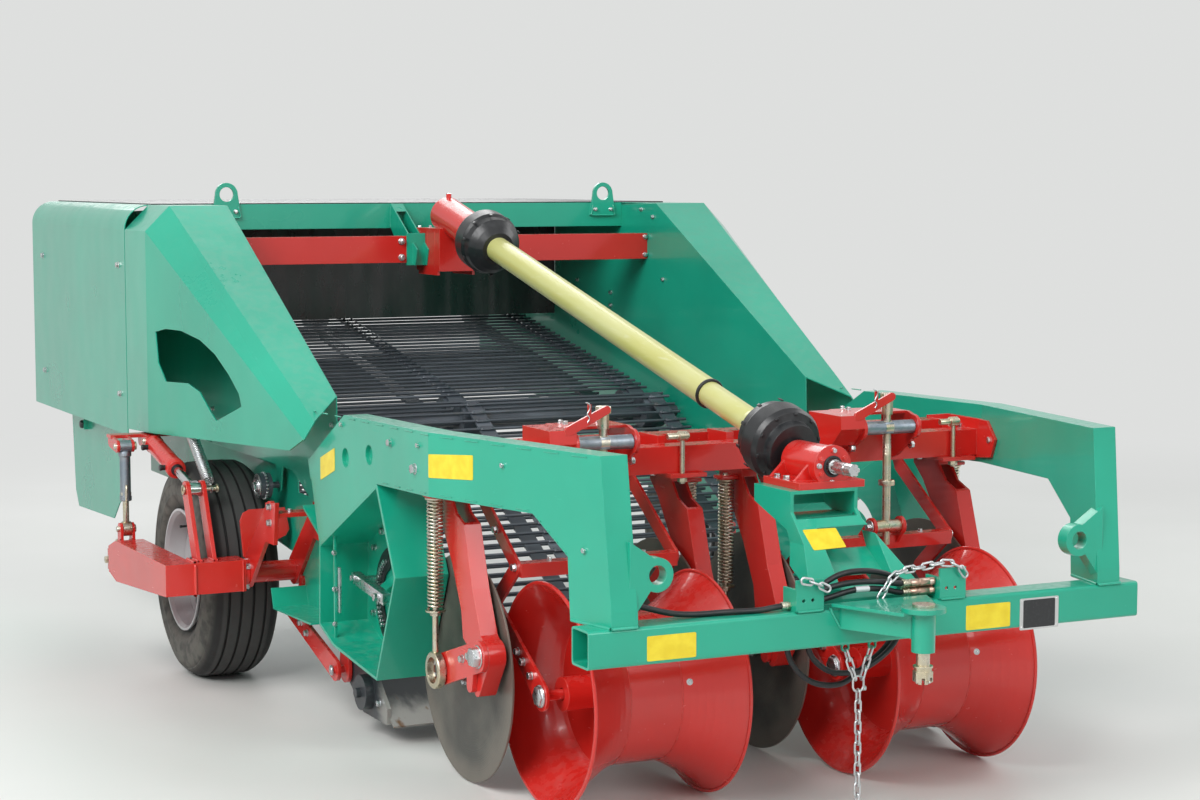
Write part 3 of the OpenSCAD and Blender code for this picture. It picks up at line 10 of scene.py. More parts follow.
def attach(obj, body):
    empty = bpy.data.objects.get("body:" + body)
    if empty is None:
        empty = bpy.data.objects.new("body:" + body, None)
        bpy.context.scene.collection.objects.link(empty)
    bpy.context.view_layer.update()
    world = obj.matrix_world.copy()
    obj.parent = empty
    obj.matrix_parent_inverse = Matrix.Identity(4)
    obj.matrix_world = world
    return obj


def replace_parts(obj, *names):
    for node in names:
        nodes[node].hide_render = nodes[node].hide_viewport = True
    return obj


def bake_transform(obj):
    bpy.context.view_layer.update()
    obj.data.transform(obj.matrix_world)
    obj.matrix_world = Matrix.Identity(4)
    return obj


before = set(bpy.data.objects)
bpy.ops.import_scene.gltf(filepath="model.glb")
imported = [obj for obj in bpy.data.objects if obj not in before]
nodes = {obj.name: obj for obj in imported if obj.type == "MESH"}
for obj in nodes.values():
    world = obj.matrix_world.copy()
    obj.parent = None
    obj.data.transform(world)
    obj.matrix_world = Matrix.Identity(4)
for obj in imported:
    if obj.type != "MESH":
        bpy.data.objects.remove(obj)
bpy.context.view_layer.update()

# Viewpoint of the photograph: ahead of the machine's left front corner, a little
# higher than its hoods, through a lens of moderate length
viewpoint = bpy.data.objects.new("viewpoint", bpy.data.cameras.new("viewpoint"))
bpy.context.collection.objects.link(viewpoint)
viewpoint.location = (-3.4238, -7.5496, 1.750)
viewpoint.rotation_euler = (math.radians(90 - 5.356), 0, math.radians(-26.03))
viewpoint.data.lens = 71.3
viewpoint.data.sensor_width = 36
viewpoint.data.clip_end = 200
bpy.context.scene.camera = viewpoint

# Hydraulic hoses: wire braid in a black rubber cover, 16 mm outside. Three arch over
# the middle of the cross tube, one runs on to the left post, and two hang in loops.
axle_line_to_middle = 1661
hose_radius = 0.008


def at(x, y, z):
    """A place in millimetres from the middle, the rollers' axle line and the floor."""
    return Vector((x, y - axle_line_to_middle, z)) / 1000


class Level:
    """A socket in a material; adding, scaling or comparing it adds the maths nodes."""

    def __init__(self, recipe, socket):
        self.recipe = recipe
        self.socket = socket

    def maths(self, operation, first, second):
        return self.recipe.node("ShaderNodeMath", {"operation": operation}, {0: first, 1: second})

    def __add__(self, other):
        return self.maths("ADD", self, other)

    def __sub__(self, other):
        return self.maths("SUBTRACT", self, other)

    def __rsub__(self, other):
        return self.maths("SUBTRACT", other, self)

    def __mul__(self, other):
        return self.maths("MULTIPLY", self, other)

    def __gt__(self, other):
        return self.maths("GREATER_THAN", self, other)

    def __abs__(self):
        return self.recipe.node("ShaderNodeMath", {"operation": "ABSOLUTE"}, {0: self})

    __radd__ = __add__
    __rmul__ = __mul__

    def between(self, low, high):
        """0 below low, 1 above high and a smooth step between them."""
        return self.recipe.node("ShaderNodeMapRange", {"interpolation_type": "SMOOTHSTEP"},
                                {"Value": self, "From Min": low, "From Max": high})


class Recipe:
    """The nodes of a surface or of the daylight."""

    def __init__(self, tree):
        self.tree = tree

    def node(self, kind, settings, values, output=0):
        """Adds a node: its settings first, then the values or links of its sockets."""
        made = self.tree.nodes.new(kind)
        for name, value in settings.items():
            setattr(made, name, value)
        for name, value in values.items():
            self.join(value, made.inputs[name])
        return Level(self, made.outputs[output])

    def join(self, value, socket):
        if isinstance(value, Level):
            self.tree.links.new(value.socket, socket)
        else:
            socket.default_value = value


class Finish(Recipe):
    """A surface: constants on its shader, then the nodes that vary it over a piece."""

    def __init__(self, name, colour, **constants):
        self.material = bpy.data.materials.new(name)
        self.material.use_nodes = True
        super().__init__(self.material.node_tree)
        self.shader = self.tree.nodes["Principled BSDF"]
        self.material.diffuse_color = (*colour, 1)
        self.feed(Base_Color=(*colour, 1), **constants)
        self.place = self.node("ShaderNodeTexCoord", {}, {}, "Object")

    def feed(self, **sockets):
        for name, value in sockets.items():
            self.join(value, self.shader.inputs[name.replace("_", " ")])

    def patches(self, scale, detail=2, stretch=(1, 1, 1)):
        """Soft uneven patches, about 1/scale metres across."""
        spot = self.node("ShaderNodeMapping", {}, {"Vector": self.place, "Scale": stretch})
        return self.node("ShaderNodeTexNoise", {}, {"Vector": spot, "Scale": scale, "Detail": detail})

    def blend(self, share, first, second):
        """From the first colour to the second, each a socket or red, green and blue."""
        first, second = (part if isinstance(part, Level) else (*part, 1) for part in (first, second))
        return self.node("ShaderNodeMix", {"data_type": "RGBA"}, {0: share, 6: first, 7: second}, 2)

    def along(self, axis):
        """The place along one axis, in metres."""
        return self.node("ShaderNodeSeparateXYZ", {}, {"Vector": self.place}, axis)

    def reach_from(self, centre, directions):
        """The distance from a centre, measured only along the given directions."""
        arm = self.node("ShaderNodeVectorMath", {"operation": "SUBTRACT"}, {0: self.place, 1: tuple(centre)})
        arm = self.node("ShaderNodeVectorMath", {"operation": "MULTIPLY"}, {0: arm, 1: directions})
        return self.node("ShaderNodeVectorMath", {"operation": "LENGTH"}, {0: arm}, "Value")

    def relief(self, height, depth, under=None):
        """A bump of a depth in metres, over another normal."""
        values = {"Height": height, "Distance": depth, "Strength": 1}
        if under:
            values["Normal"] = under
        return self.node("ShaderNodeBump", {}, values)

    def rounded(self, radius):
        """The normal of edges that are a little rounded."""
        return self.node("ShaderNodeBevel", {"samples": 4}, {"Radius": radius})


hose_cover = Finish("hose_cover", (0.012, 0.013, 0.015), Specular_IOR_Level=0.45)
wrap = hose_cover.patches(420, 1)
dust = hose_cover.patches(14, 3).between(0.5, 0.8)
hose_cover.feed(Base_Color=hose_cover.blend(dust * 0.35, (0.012, 0.013, 0.015), (0.07, 0.068, 0.062)),
                Roughness=0.34 + 0.2 * dust, Normal=hose_cover.relief(wrap, 0.0005))
hose_routes = {
    "hose_feed": (0.444, [
        (-722, -512, 661), (-699.3, -511.9, 655.6), (-676.8, -512.3, 649.1), (-654.5, -513.3, 642.3),
        (-632.1, -514.4, 635.8), (-609.5, -515.7, 630), (-586.7, -517.2, 625.4), (-563.6, -519, 622.1),
        (-540.4, -521, 620), (-517.2, -523.2, 619.2), (-493.9, -525.5, 619.2), (-470.7, -528, 619.5),
        (-447.5, -530.6, 619.7), (-424.3, -533.2, 619.7), (-401.1, -535.9, 619.4), (-377.9, -538.6, 618.9),
        (-354.6, -541.1, 619), (-331.4, -543.3, 620.3), (-308.3, -544.7, 623.1), (-285, -545, 625),
    ]),
    "hose_top": (0.362, [
        (-228, -522, 655), (-206.8, -522.8, 656.8), (-185.8, -525.2, 659.9), (-165.2, -527.9, 664.5),
        (-145.3, -530.2, 671.8), (-126.6, -532.1, 681.7), (-107.2, -533.6, 690.5), (-86.7, -534.5, 695.9),
        (-65.6, -535.2, 698.8), (-44.3, -535.8, 699.7), (-23, -536, 698.9), (-1.8, -535.8, 696.8),
        (19.2, -535, 693.2), (39.8, -533.7, 688.1), (59.9, -531.8, 681.2), (79.3, -529.7, 672.6),
        (98.5, -527.9, 663.4), (118, -527, 655),
    ]),
    "hose_upper": (0.319, [
        (-228, -545, 650), (-206.8, -545, 651.8), (-185.8, -545.4, 655), (-164.9, -545.7, 658.7),
        (-144.1, -546.4, 662.8), (-123.2, -547.6, 666.7), (-102.2, -548.4, 669.7), (-81, -548.8, 671.5),
        (-59.8, -549.4, 672.4), (-38.6, -550.4, 672.4), (-17.4, -551.2, 671.7), (3.8, -551.7, 670.3),
        (24.9, -552, 668), (45.9, -552.1, 664.7), (66.9, -551.9, 661.3), (88, -551, 659),
    ]),
    "hose_low": (0.32, [
        (-228, -545, 627), (-206.7, -545, 627.9), (-185.4, -545.8, 629.4), (-164.3, -546.6, 632.6),
        (-143.3, -547.3, 636.6), (-122.4, -548.1, 640.6), (-101.6, -548.9, 645.4), (-80.6, -549.5, 649.5),
        (-59.4, -550, 652.1), (-38.1, -550.7, 653.1), (-16.8, -551.1, 652.8), (4.5, -551, 651.3),
        (25.7, -551.1, 648.3), (46.5, -551.1, 643.9), (67.1, -550.2, 638.3), (88, -549, 634),
    ]),
    "hose_inner": (0.71, [
        (-142, -452, 667.5), (-144, -452.6, 639.2), (-147.3, -454, 611), (-150.9, -455.3, 582.8),
        (-153.6, -456.4, 554.6), (-153.9, -458.5, 526.2), (-150.9, -460.3, 498), (-142.5, -461, 471),
        (-125.7, -461.7, 448.3), (-104.1, -462.4, 429.9), (-79, -463.2, 416.6), (-51.4, -463.8, 410.1),
        (-23.1, -464.1, 408.2), (5.2, -464, 410.3), (32.8, -463.3, 417.1), (59, -462.2, 427.8),
        (84, -460.7, 441.3),
        (107.6, -458.8, 457), (128.1, -456.8, 476.5), (143.2, -455, 500.4), (150.5, -453.6, 527.7),
        (152.1, -452.7, 556), (150.2, -452.3, 584.4), (145.8, -451.7, 612.4), (139.9, -451, 640.2),
        (134, -450, 668),
    ]),
    "hose_outer": (0.825, [
        (-150, -434, 674), (-160.6, -434.7, 645.3), (-173.6, -436.9, 617.7), (-186.9, -440, 590.3),
        (-198.7, -443.3, 562.3), (-207.4, -447.3, 533.3), (-211.2, -452.2, 503.4), (-208.3, -456.7, 473.3),
        (-196.9, -460.6, 445.4), (-177.8, -463.9, 421.8), (-154.3, -466.7, 402.5), (-126.9, -468.8, 389.2),
        (-97.1, -470, 382.3), (-66.7, -469.6, 379.7), (-36.8, -464.8, 382.8), (-9, -455.6, 391.5),
        (18, -446.9, 402.9), (44.6, -441.4, 417), (70.8, -437.9, 432.4), (96.7, -435.6, 448.6),
        (120.1, -433.8, 468.2), (137.2, -432.3, 493.3), (145.5, -431.4, 522.6), (147, -431, 553.2),
        (145.5, -430.5, 583.7), (142.5, -429.9, 614.2), (139, -429.4, 644.6), (136, -429, 675),
    ]),
}
for name, (length, route) in hose_routes.items():
    line = bpy.data.curves.new(name, "CURVE")
    line.dimensions = "3D"
    line.bevel_depth = hose_radius
    line.bevel_resolution = 5
    line.resolution_u = 6
    line.use_fill_caps = True
    spline = line.splines.new("BEZIER")
    spline.bezier_points.add(len(route) - 1)
    for bend, spot in zip(spline.bezier_points, route):
        bend.co = at(*spot)
        bend.handle_left_type = bend.handle_right_type = "AUTO"
    line.materials.append(hose_cover.material)
    hose = bpy.data.objects.new(name + "_line", line)
    bpy.context.collection.objects.link(hose)
    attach(hose, "frame")
    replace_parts(hose, name)
    tuple(at(*route[0]))

# Hose ends: crimped ferrules of yellow passivated steel with a hexagon behind them, and
# the brown anodised couplers that stand in the right bracket
ferrule_length = 23
coupler_length = 58
coupler_end = 192.8
hose_nut = 6


def aimed(start, direction, turn=0):
    """The matrix that puts the origin at start and the Z axis along a direction."""
    tilt = Vector((0, 0, 1)).rotation_difference(Vector(direction)).to_matrix().to_4x4()
    return Matrix.Translation(start) @ tilt @ Matrix.Rotation(math.radians(turn), 4, "Z")


def outward(side, x, y, z, turn=0):
    """The matrix of a place in millimetres, its Z axis pointing to the left (-1) or right (1)."""
    return aimed(at(x, y, z), (side, 0, 0), turn)


def form_of(shape):
    """A finished shape as a mesh that can be stamped many times."""
    form = bpy.data.meshes.new("form")
    shape.to_mesh(form)
    shape.free()
    return form


def stamp(shape, form, matrix=Matrix()):
    """Adds a form to a shape, put in its place by a matrix."""
    form.transform(matrix)
    shape.from_mesh(form)
    form.transform(matrix.inverted())


def turned(outline, steps=24):
    """A form turned about Z from (height, radius) pairs in millimetres."""
    shape = bmesh.new()
    corners = [shape.verts.new((radius / 1000, 0, height / 1000)) for height, radius in outline]
    lines = [shape.edges.new(pair) for pair in zip(corners, corners[1:])]
    bmesh.ops.spin(shape, geom=corners + lines, cent=(0, 0, 0), axis=(0, 0, 1), angle=math.tau,
                   steps=steps, use_merge=True)
    bmesh.ops.remove_doubles(shape, verts=shape.verts, dist=1e-6)
    return form_of(shape)


def hexagon(across, height, base=0):
    """A hexagonal nut or head, its corners chamfered, standing on Z = base, in millimetres."""
    shape = bmesh.new()
    corner_radius = across / 1732
    bmesh.ops.create_cone(shape, cap_ends=True, segments=6, radius1=corner_radius, radius2=corner_radius,
                          depth=height / 1000, matrix=Matrix.Translation((0, 0, (base + height / 2) / 1000)))
    rim = (base + height * 0.9) / 1000
    top = [edge for edge in shape.edges if all(vert.co.z > rim for vert in edge.verts)]
    bmesh.ops.bevel(shape, geom=top, offset=across / 12000, offset_type="OFFSET", segments=2, profile=0.5,
                    affect="EDGES", material=-1)
    return form_of(shape)


def piece(name, shape, finish, body, smooth=38):
    """Makes a shape an object of the machine, in its finish, that rides on a body if named."""
    bmesh.ops.recalc_face_normals(shape, faces=shape.faces)
    mesh = form_of(shape)
    mesh.name = name
    mesh.materials.append(finish.material)
    mesh.polygons.foreach_set("use_smooth", [True] * len(mesh.polygons))
    mesh.set_sharp_from_angle(angle=math.radians(smooth))
    made = bpy.data.objects.new(name, mesh)
    bpy.context.collection.objects.link(made)
    if body:
        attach(made, body)
    return made


def plated(name, colour, tint, roughness):
    """Plated steel: the tint of its passivation comes and goes, and it is a little grimy."""
    metal = Finish(name, colour, Metallic=1.0)
    shade = metal.patches(26, 3)
    grime = metal.patches(90, 3)
    colour = metal.blend(shade.between(0.35, 0.7), colour, tint)
    colour = metal.blend(grime.between(0.52, 0.85) * 0.4, colour, (0.09, 0.08, 0.06))
    metal.feed(Base_Color=colour, Roughness=roughness + 0.18 * grime.between(0.3, 0.8),
               Normal=metal.relief(grime, 0.0004, metal.rounded(0.0012)))
    return metal


yellow_zinc = plated("yellow_zinc", (0.60, 0.53, 0.38), (0.60, 0.57, 0.49), 0.26)
brown_coupler = plated("brown_coupler", (0.52, 0.34, 0.26), (0.62, 0.52, 0.46), 0.28)
ferrule = turned([(0, 0), (0, 10.4), (1, 11), (4, 11.4), (5, 10.2), (7, 10.2), (8, 11.4), (12, 11.4),
                  (13, 10.2), (15, 10.2), (16, 11.4), (20, 11.4), (21, 8.6), (ferrule_length, 8.6),
                  (ferrule_length, 0)])
coupler = turned([(0, 0), (0, 9), (2, 11.2), (16, 11.2), (17, 9.6), (21, 9.6), (22, 11.4), (42, 11.4),
                  (43, 10.4), (46, 10.4), (47, 11.4), (56, 11.4), (coupler_length, 8), (coupler_length, 0)])
ends = bmesh.new()
for x, y, z, reach in ((-723.5, -512, 661, -10.8), (-284, -545, 625, 27), (-228.9, -522, 655, -20.1),
                       (-228.9, -545, 650, -20.1), (-228.6, -545, 627, -20.4), (118.5, -527, 652, 21.5),
                       (89.3, -551, 658, 23.7), (90.3, -549, 634, 22.7)):
    way = math.copysign(1, reach)
    stretch = Matrix.Diagonal((0.98, 0.98, (abs(reach) - hose_nut) / ferrule_length, 1))
    stamp(ends, ferrule, outward(way, x, y, z) @ stretch)
    stamp(ends, hexagon(19, hose_nut), outward(way, x + reach - way * hose_nut, y, z))
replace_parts(piece("hose_ferrules", ends, yellow_zinc, "frame"), "hose_ends")
ends = bmesh.new()
for x, y, z in ((140, -527, 652), (113, -551, 658), (113, -549, 634)):
    stretch = Matrix.Diagonal((0.98, 0.98, (coupler_end - x) / coupler_length, 1))
    stamp(ends, coupler, outward(1, x, y, z) @ stretch)
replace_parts(piece("hose_couplers", ends, brown_coupler, "frame"), "hose_ends")

# Label sleeve on one arching hose: a short tube of clear film, shrunk on its cover and
# left blank
film = Finish("label_film", (0.72, 0.73, 0.74), Roughness=0.35)
film.feed(Roughness=0.28 + 0.3 * film.patches(160, 2))
sleeve = bmesh.new()
stamp(sleeve, turned([(-21, 8), (-21, 8.5), (21, 8.5), (21, 8)]),
      aimed(at(-38.1, -550.7, 653.1), (1, -0.012, -0.005)))
piece("hose_label", sleeve, film, "frame")

# Green enamel: sprayed over the welded frame and the sheet metal. It keeps a faint orange peel, gathers
# dust on what faces up, and is paler along its edges, partly thin paint and partly a painted highlight.


def enamel(name, colour, edge, roughness=0.24, waves=0.0006):
    """Gloss enamel: its colour, the paler colour of its edges (thin paint and painted highlight), and the
    depth of its waves.
    """
    paint = Finish(name, colour, Coat_Weight=0.45, Coat_Roughness=0.07)
    tone = paint.patches(2.2, 4)
    peel = paint.patches(330, 1)
    buckle = paint.patches(5, 1)
    dirt = paint.patches(38, 5)
    soft = paint.rounded(0.0032)
    flat = paint.node("ShaderNodeNewGeometry", {}, {}, "True Normal")
    bend = paint.node("ShaderNodeVectorMath", {"operation": "DOT_PRODUCT"}, {0: soft, 1: flat}, "Value")
    # Paler rounded edges: partly thin worn paint, partly a painted highlight along the edges
    rim = (1 - bend).between(0.02, 0.2) * dirt.between(0.25, 0.6)
    facing = paint.node("ShaderNodeSeparateXYZ", {}, {"Vector": flat}, "Z")
    dust = facing.between(0.55, 0.95) * dirt.between(0.4, 0.75)
    scratch = paint.patches(60, 2, (1, 0.12, 1)).between(0.72, 0.76)
    deep = tuple(0.86 * part for part in colour)
    shade = paint.blend(tone.between(0.3, 0.7), deep, colour)
    shade = paint.blend(rim * 0.45, shade, edge)
    shade = paint.blend(dust * 0.12, shade, (0.42, 0.40, 0.36))
    shade = paint.blend(scratch * 0.1, shade, edge)
    paint.feed(Base_Color=shade, Roughness=roughness + 0.10 * tone + 0.25 * dust + 0.1 * scratch,
               Normal=paint.relief(buckle, waves * 8, paint.relief(peel, 0.00012, soft)))
    return paint


def dress(finish, *names):
    """Gives CAD nodes a finish."""
    for name in names:
        for slot in nodes[name].material_slots:
            slot.material = finish.material


green_enamel = enamel("green_enamel", (0.009, 0.40, 0.255), (0.12, 0.62, 0.47))
dress(green_enamel, "cross_tube", "side_beams", "hex_boxes", "hitch_nose", "hose_brackets", "pto_pedestal",
      "top_beam", "side_walls", "hoods", "rear_covers", "lower_covers")

# Weld beads: the frame's plates are welded by hand where they meet, with a rippled bead
# that is painted over
tube_top = 612
tube_front = -580
beam_fold = 230
beam_half_width = 968
beam_slant = 0.209


def bead(shape, start, end, size=4):
    """A rippled weld bead from one place to another, its size in millimetres."""
    run = end - start
    ripple = 0.005
    steps = max(3, round(run.length / ripple))
    line = bmesh.new()
    bmesh.ops.create_circle(line, cap_ends=True, segments=6, radius=size / 1400)
    face = line.faces[:]
    for step in range(1, steps + 1):
        made = bmesh.ops.extrude_face_region(line, geom=face)["geom"]
        bmesh.ops.delete(line, geom=face, context="FACES_ONLY")
        corners = [part for part in made if isinstance(part, bmesh.types.BMVert)]
        face = [part for part in made if isinstance(part, bmesh.types.BMFace)]
        swell = (1.28, 0.78)[step % 2] if step < steps else 0.5
        bmesh.ops.scale(line, vec=(swell, swell, 1), verts=corners)
        bmesh.ops.translate(line, vec=(0, 0, run.length / steps), verts=corners)
    bmesh.ops.remove_doubles(line, verts=line.verts, dist=1e-6)
    stamp(shape, form_of(line), aimed(start, run))


def beam_face(y, inset=0):
    """Half the width over the side beams at a place along the machine."""
    return beam_half_width - inset - beam_slant * max(0, beam_fold - y)


def beam_top(y):
    """Height at which the bead on a beam's top edge lies."""
    return 1049 - max(0, y - beam_fold) * 0.019 - (6 if y > beam_fold else (y + 535) * 0.0078)


welds = bmesh.new()
for side in (-1, 1):
    for inset in (0, 76):
        bead(welds, at(side * beam_face(-578, inset), -578, tube_top),
             at(side * beam_face(-412, inset), -412, tube_top), 8)
    bead(welds, at(side * beam_face(-574), -581, tube_top), at(side * beam_face(-574, 76), -581, tube_top), 7)
    for y in range(-480, 1180, 118):
        bead(welds, at(side * (beam_face(y) + 0.3), y, beam_top(y) - 8),
             at(side * (beam_face(y + 62) + 0.3), y + 62, beam_top(y) - 9), 3)
    # Stitches under the beam, along its arch, from (y, z) to (y, z)
    for (y1, z1), (y2, z2) in (((240, 862), (636, 851)), ((-246, 869), (224, 863)),
                               ((-398, 774), (-254, 866))):
        stitches = 4
        for k in range(stitches):
            a, b = ((y1 + (y2 - y1) * t, z1 + (z2 - z1) * t + 8)
                    for t in ((k + 0.1) / stitches, (k + 0.6) / stitches))
            bead(welds, at(side * beam_face(a[0]), *a), at(side * beam_face(b[0]), *b), 3)
    bead(welds, at(side * 155, -581, 616), at(side * 122, -581, 560), 6)
    bead(welds, at(side * 186, -522, 613), at(side * 170, -484, 613), 6)
for x in (-257, -173, 193, 277):
    bead(welds, at(x, -578, tube_top), at(x, -573, tube_top), 5)
for x in (-215, 235):
    bead(welds, at(x - 40, -581, tube_top), at(x + 40, -581, tube_top), 5)
bead(welds, at(-186, -524, 613), at(186, -524, 613), 6)
bead(welds, at(-28, -772, 620), at(28, -772, 620), 5)
piece("drawbar_welds", welds, green_enamel, "frame", 60)

# Bolts of the side beams and of the hexagonal boxes: cold headed, zinc plated hexagon
# heads, each on a washer and turned a little, as a spanner leaves it
box_panel = 808
bright_zinc = plated("bright_zinc", (0.60, 0.61, 0.61), (0.55, 0.57, 0.60), 0.24)


def forward(x, y, z, turn=0):
    """The matrix of a place in millimetres, its Z axis pointing ahead."""
    return aimed(at(x, y, z), (0, -1, 0), turn)


def bolt(across, height):
    """A washer and a chamfered hexagon head."""
    shape = bmesh.new()
    washer = height * 0.22
    stamp(shape, turned([(0, 0), (0, across * 0.66), (washer * 0.7, across * 0.66), (washer, across * 0.62),
                         (washer, 0)], 20))
    stamp(shape, hexagon(across, height, washer))
    return form_of(shape)


big_bolt, bolt_head, small_bolt = bolt(24, 12), bolt(18, 10.5), bolt(12.5, 8)
fasteners = bmesh.new()
for side in (-1, 1):
    for y, z, form in ((520, 985, bolt_head), (330, 930, big_bolt), (300, 1000, small_bolt),
                       (930, 1000, small_bolt), (-120, 985, small_bolt), (-470, 800, small_bolt)):
        slanted = y < beam_fold
        stamp(fasteners, form, aimed(at(side * (beam_face(y) - 2 * slanted), y, z),
                                     (side, beam_slant * side * slanted, 0), 20))
    for y, z in ((1080, 590), (1010, 650), (1080, 470), (990, 480), (1090, 380), (930, 690)):
        stamp(fasteners, bolt_head, outward(side, side * box_panel, y, z, y))
    for z in (360, 470, 585):
        stamp(fasteners, small_bolt, forward(side * 952, 1060, z, z))
piece("frame_bolts", fasteners, bright_zinc, "frame")

# Slide that sets the tension of the lower web, inside each hexagonal box: a cold drawn
# zinc plated bar on two stand-offs, ahead of an upright strip. Behind it a rubber cover
# closes the curved slot, and a short roller chain turns the adjuster.
slot_y, slot_z = 905, 450
chain_radius = 128


def block(shape, low, high, edge=1.5, matrix=Matrix.Translation(at(0, 0, 0)), rounds=2):
    """A bar between two opposite corners in millimetres, its edges eased."""
    bar = bmesh.new()
    low, high = ([pick(pair) for pair in zip(low, high)] for pick in (min, max))
    size = [(b - a) / 1000 for a, b in zip(low, high)]
    middle = [(a + b) / 2000 for a, b in zip(low, high)]
    bmesh.ops.create_cube(bar, size=1)
    bmesh.ops.scale(bar, vec=size, verts=bar.verts)
    bmesh.ops.bevel(bar, geom=bar.edges[:], offset=edge / 1000, offset_type="OFFSET", segments=rounds,
                    profile=0.5, affect="EDGES", material=-1)
    stamp(shape, form_of(bar), matrix @ Matrix.Translation(middle))


chain_roller = turned([(0, 3), (0, 6.5), (3, 6.5), (3, 4.6), (9, 4.6), (9, 6.5), (12, 6.5), (12, 0)], 10)
slides = bmesh.new()
slots = bmesh.new()
for side in (-1, 1):
    lean = Matrix.Translation(at(side * 882, 924, 490)) @ Matrix.Rotation(math.radians(6), 4, "X")
    block(slides, (-15, -136, -8), (15, 136, 17), 3, lean)
    block(slides, (-11, -132, -20), (11, 132, -9), 2, lean)
    for y in (-118, 90):
        block(slides, (-side * 74, y, -7), (0, y + 26, 7), 2, lean)
    stamp(slides, bolt(22, 12), lean @ aimed(Vector((side * 0.015, -0.096, -0.002)), (side, 0, 0)))
    stamp(slides, bolt(17, 10), lean @ aimed(Vector((side * 0.015, 0.112, 0.004)), (side, 0, 0)))
    block(slides, (side * 944, 1040, 396), (side * 936, 1058, 540), 2)
    ring = bmesh.new()
    strip = [ring.verts.new(Vector((0, reach, 0)) / 1000) for reach in (98, 165)]
    bmesh.ops.spin(ring, geom=strip + [ring.edges.new(strip)], cent=(0, 0, 0), axis=(1, 0, 0),
                   angle=math.radians(125), steps=30)
    bmesh.ops.solidify(ring, geom=ring.faces[:], thickness=0.002)
    slot_place = Matrix.Translation(at(side * (box_panel + 3), slot_y, slot_z))
    stamp(slots, form_of(ring), slot_place @ Matrix.Rotation(math.radians(-55), 4, "X"))
    for k in range(17):
        turn = math.radians(-46 + 6.6 * k)
        link_place = outward(side, side * (box_panel + 5), slot_y + chain_radius * math.cos(turn),
                             slot_z + chain_radius * math.sin(turn))
        stamp(slides, chain_roller, link_place)
        block(slides, (-7.5, -4, 9), (7.5, 4, 11), 0.8,
              link_place @ Matrix.Rotation(math.pi / 2 + side * turn, 4, "Z"), 1)
piece("web_tension_slides", slides, bright_zinc, "frame")
piece("slot_covers", slots, hose_cover, "frame")

# Plates riveted or stuck to the drawbar, left blank: yellow film, and one black aluminium
# plate with a bare border


def raised(corners, rise):
    """A flat sheet through corners in millimetres, as thick as its rise, and its upper corners."""
    sheet = bmesh.new()
    face = sheet.faces.new([sheet.verts.new(at(*corner)) for corner in corners])
    made = bmesh.ops.extrude_face_region(sheet, geom=[face])["geom"]
    tops = [part for part in made if isinstance(part, bmesh.types.BMVert)]
    bmesh.ops.translate(sheet, vec=Vector(rise) / 1000, verts=tops)
    return sheet, tops


def plate(shape, corners, thickness, facing=(0, -1, 0)):
    """A thin plate through corners in millimetres, with rounded corners."""
    sheet, tops = raised(corners, Vector(facing).normalized() * thickness)
    sides = [edge for edge in sheet.edges if (edge.verts[0] in tops) != (edge.verts[1] in tops)]
    bmesh.ops.bevel(sheet, geom=sides, offset=0.004, offset_type="OFFSET", segments=3, profile=0.5,
                    affect="EDGES", material=-1)
    stamp(shape, form_of(sheet))


def front_plate(shape, left, bottom, right, top, thickness):
    """A plate on the front face of the cross tube."""
    corners = ((left, bottom), (right, bottom), (right, top), (left, top))
    plate(shape, [(x, tube_front, z) for x, z in corners], thickness)


yellow_film = Finish("yellow_film", (0.86, 0.66, 0.012), Coat_Weight=0.3, Coat_Roughness=0.15)
fade = yellow_film.patches(30, 4)
scuff = yellow_film.patches(220, 3, (1, 1, 3)).between(0.6, 0.75)
yellow = yellow_film.blend(fade.between(0.3, 0.75), (0.80, 0.60, 0.010), (0.90, 0.72, 0.03))
yellow_film.feed(Base_Color=yellow, Roughness=0.3 + 0.2 * scuff, Normal=yellow_film.relief(fade, 0.0006))
films = bmesh.new()
front_plate(films, -698, 521, -556, 586, 0.8)
front_plate(films, 279, 519, 425, 587, 0.8)
plate(films, [(-968.5, y, z) for y, z in ((1131, 806), (999, 851), (999, 921), (1131, 877))], 0.8, (-1, 0, 0))
low, high = -beam_face(16) - 0.3, -beam_face(228) - 0.3
plate(films, ((high, 228, 916), (low, 16, 931), (low, 16, 999), (high, 228, 982)), 0.8, (-1, -beam_slant, 0))
piece("blank_films", films, yellow_film, "frame")

aluminium = Finish("plate_aluminium", (0.66, 0.66, 0.66), Metallic=1.0)
brush = aluminium.patches(160, 2, (0.05, 1, 1))
aluminium.feed(Roughness=0.28 + 0.2 * brush, Normal=aluminium.relief(brush, 0.0003))
black_print = Finish("plate_black", (0.014, 0.015, 0.017), Coat_Weight=0.2)
rub = black_print.patches(120, 4)
ink = black_print.blend(rub.between(0.5, 0.8) * 0.3, (0.014, 0.015, 0.017), (0.09, 0.09, 0.09))
black_print.feed(Base_Color=ink, Roughness=0.32 + 0.25 * rub)
border = bmesh.new()
front_plate(border, 457, 504, 588, 592, 1)
for x, z in ((464, 511), (581, 511), (464, 585), (581, 585)):
    stamp(border, turned([(0, 3), (0.8, 2.8), (1.6, 1.6), (1.8, 0)], 16), forward(x, tube_front - 1, z))
piece("data_plate", border, aluminium, "frame")
print_area = bmesh.new()
front_plate(print_area, 469, 509, 576, 587, 1.4)
piece("data_plate_field", print_area, black_print, "frame")

# Safety and hose chains: galvanised links of round wire, welded into long ovals. Two
# short lengths from the lugs meet in a larger link, from which the long one hangs; the
# others bind the hoses to the brackets.
galvanised = plated("galvanised_chain", (0.66, 0.67, 0.68), (0.52, 0.54, 0.56), 0.3)


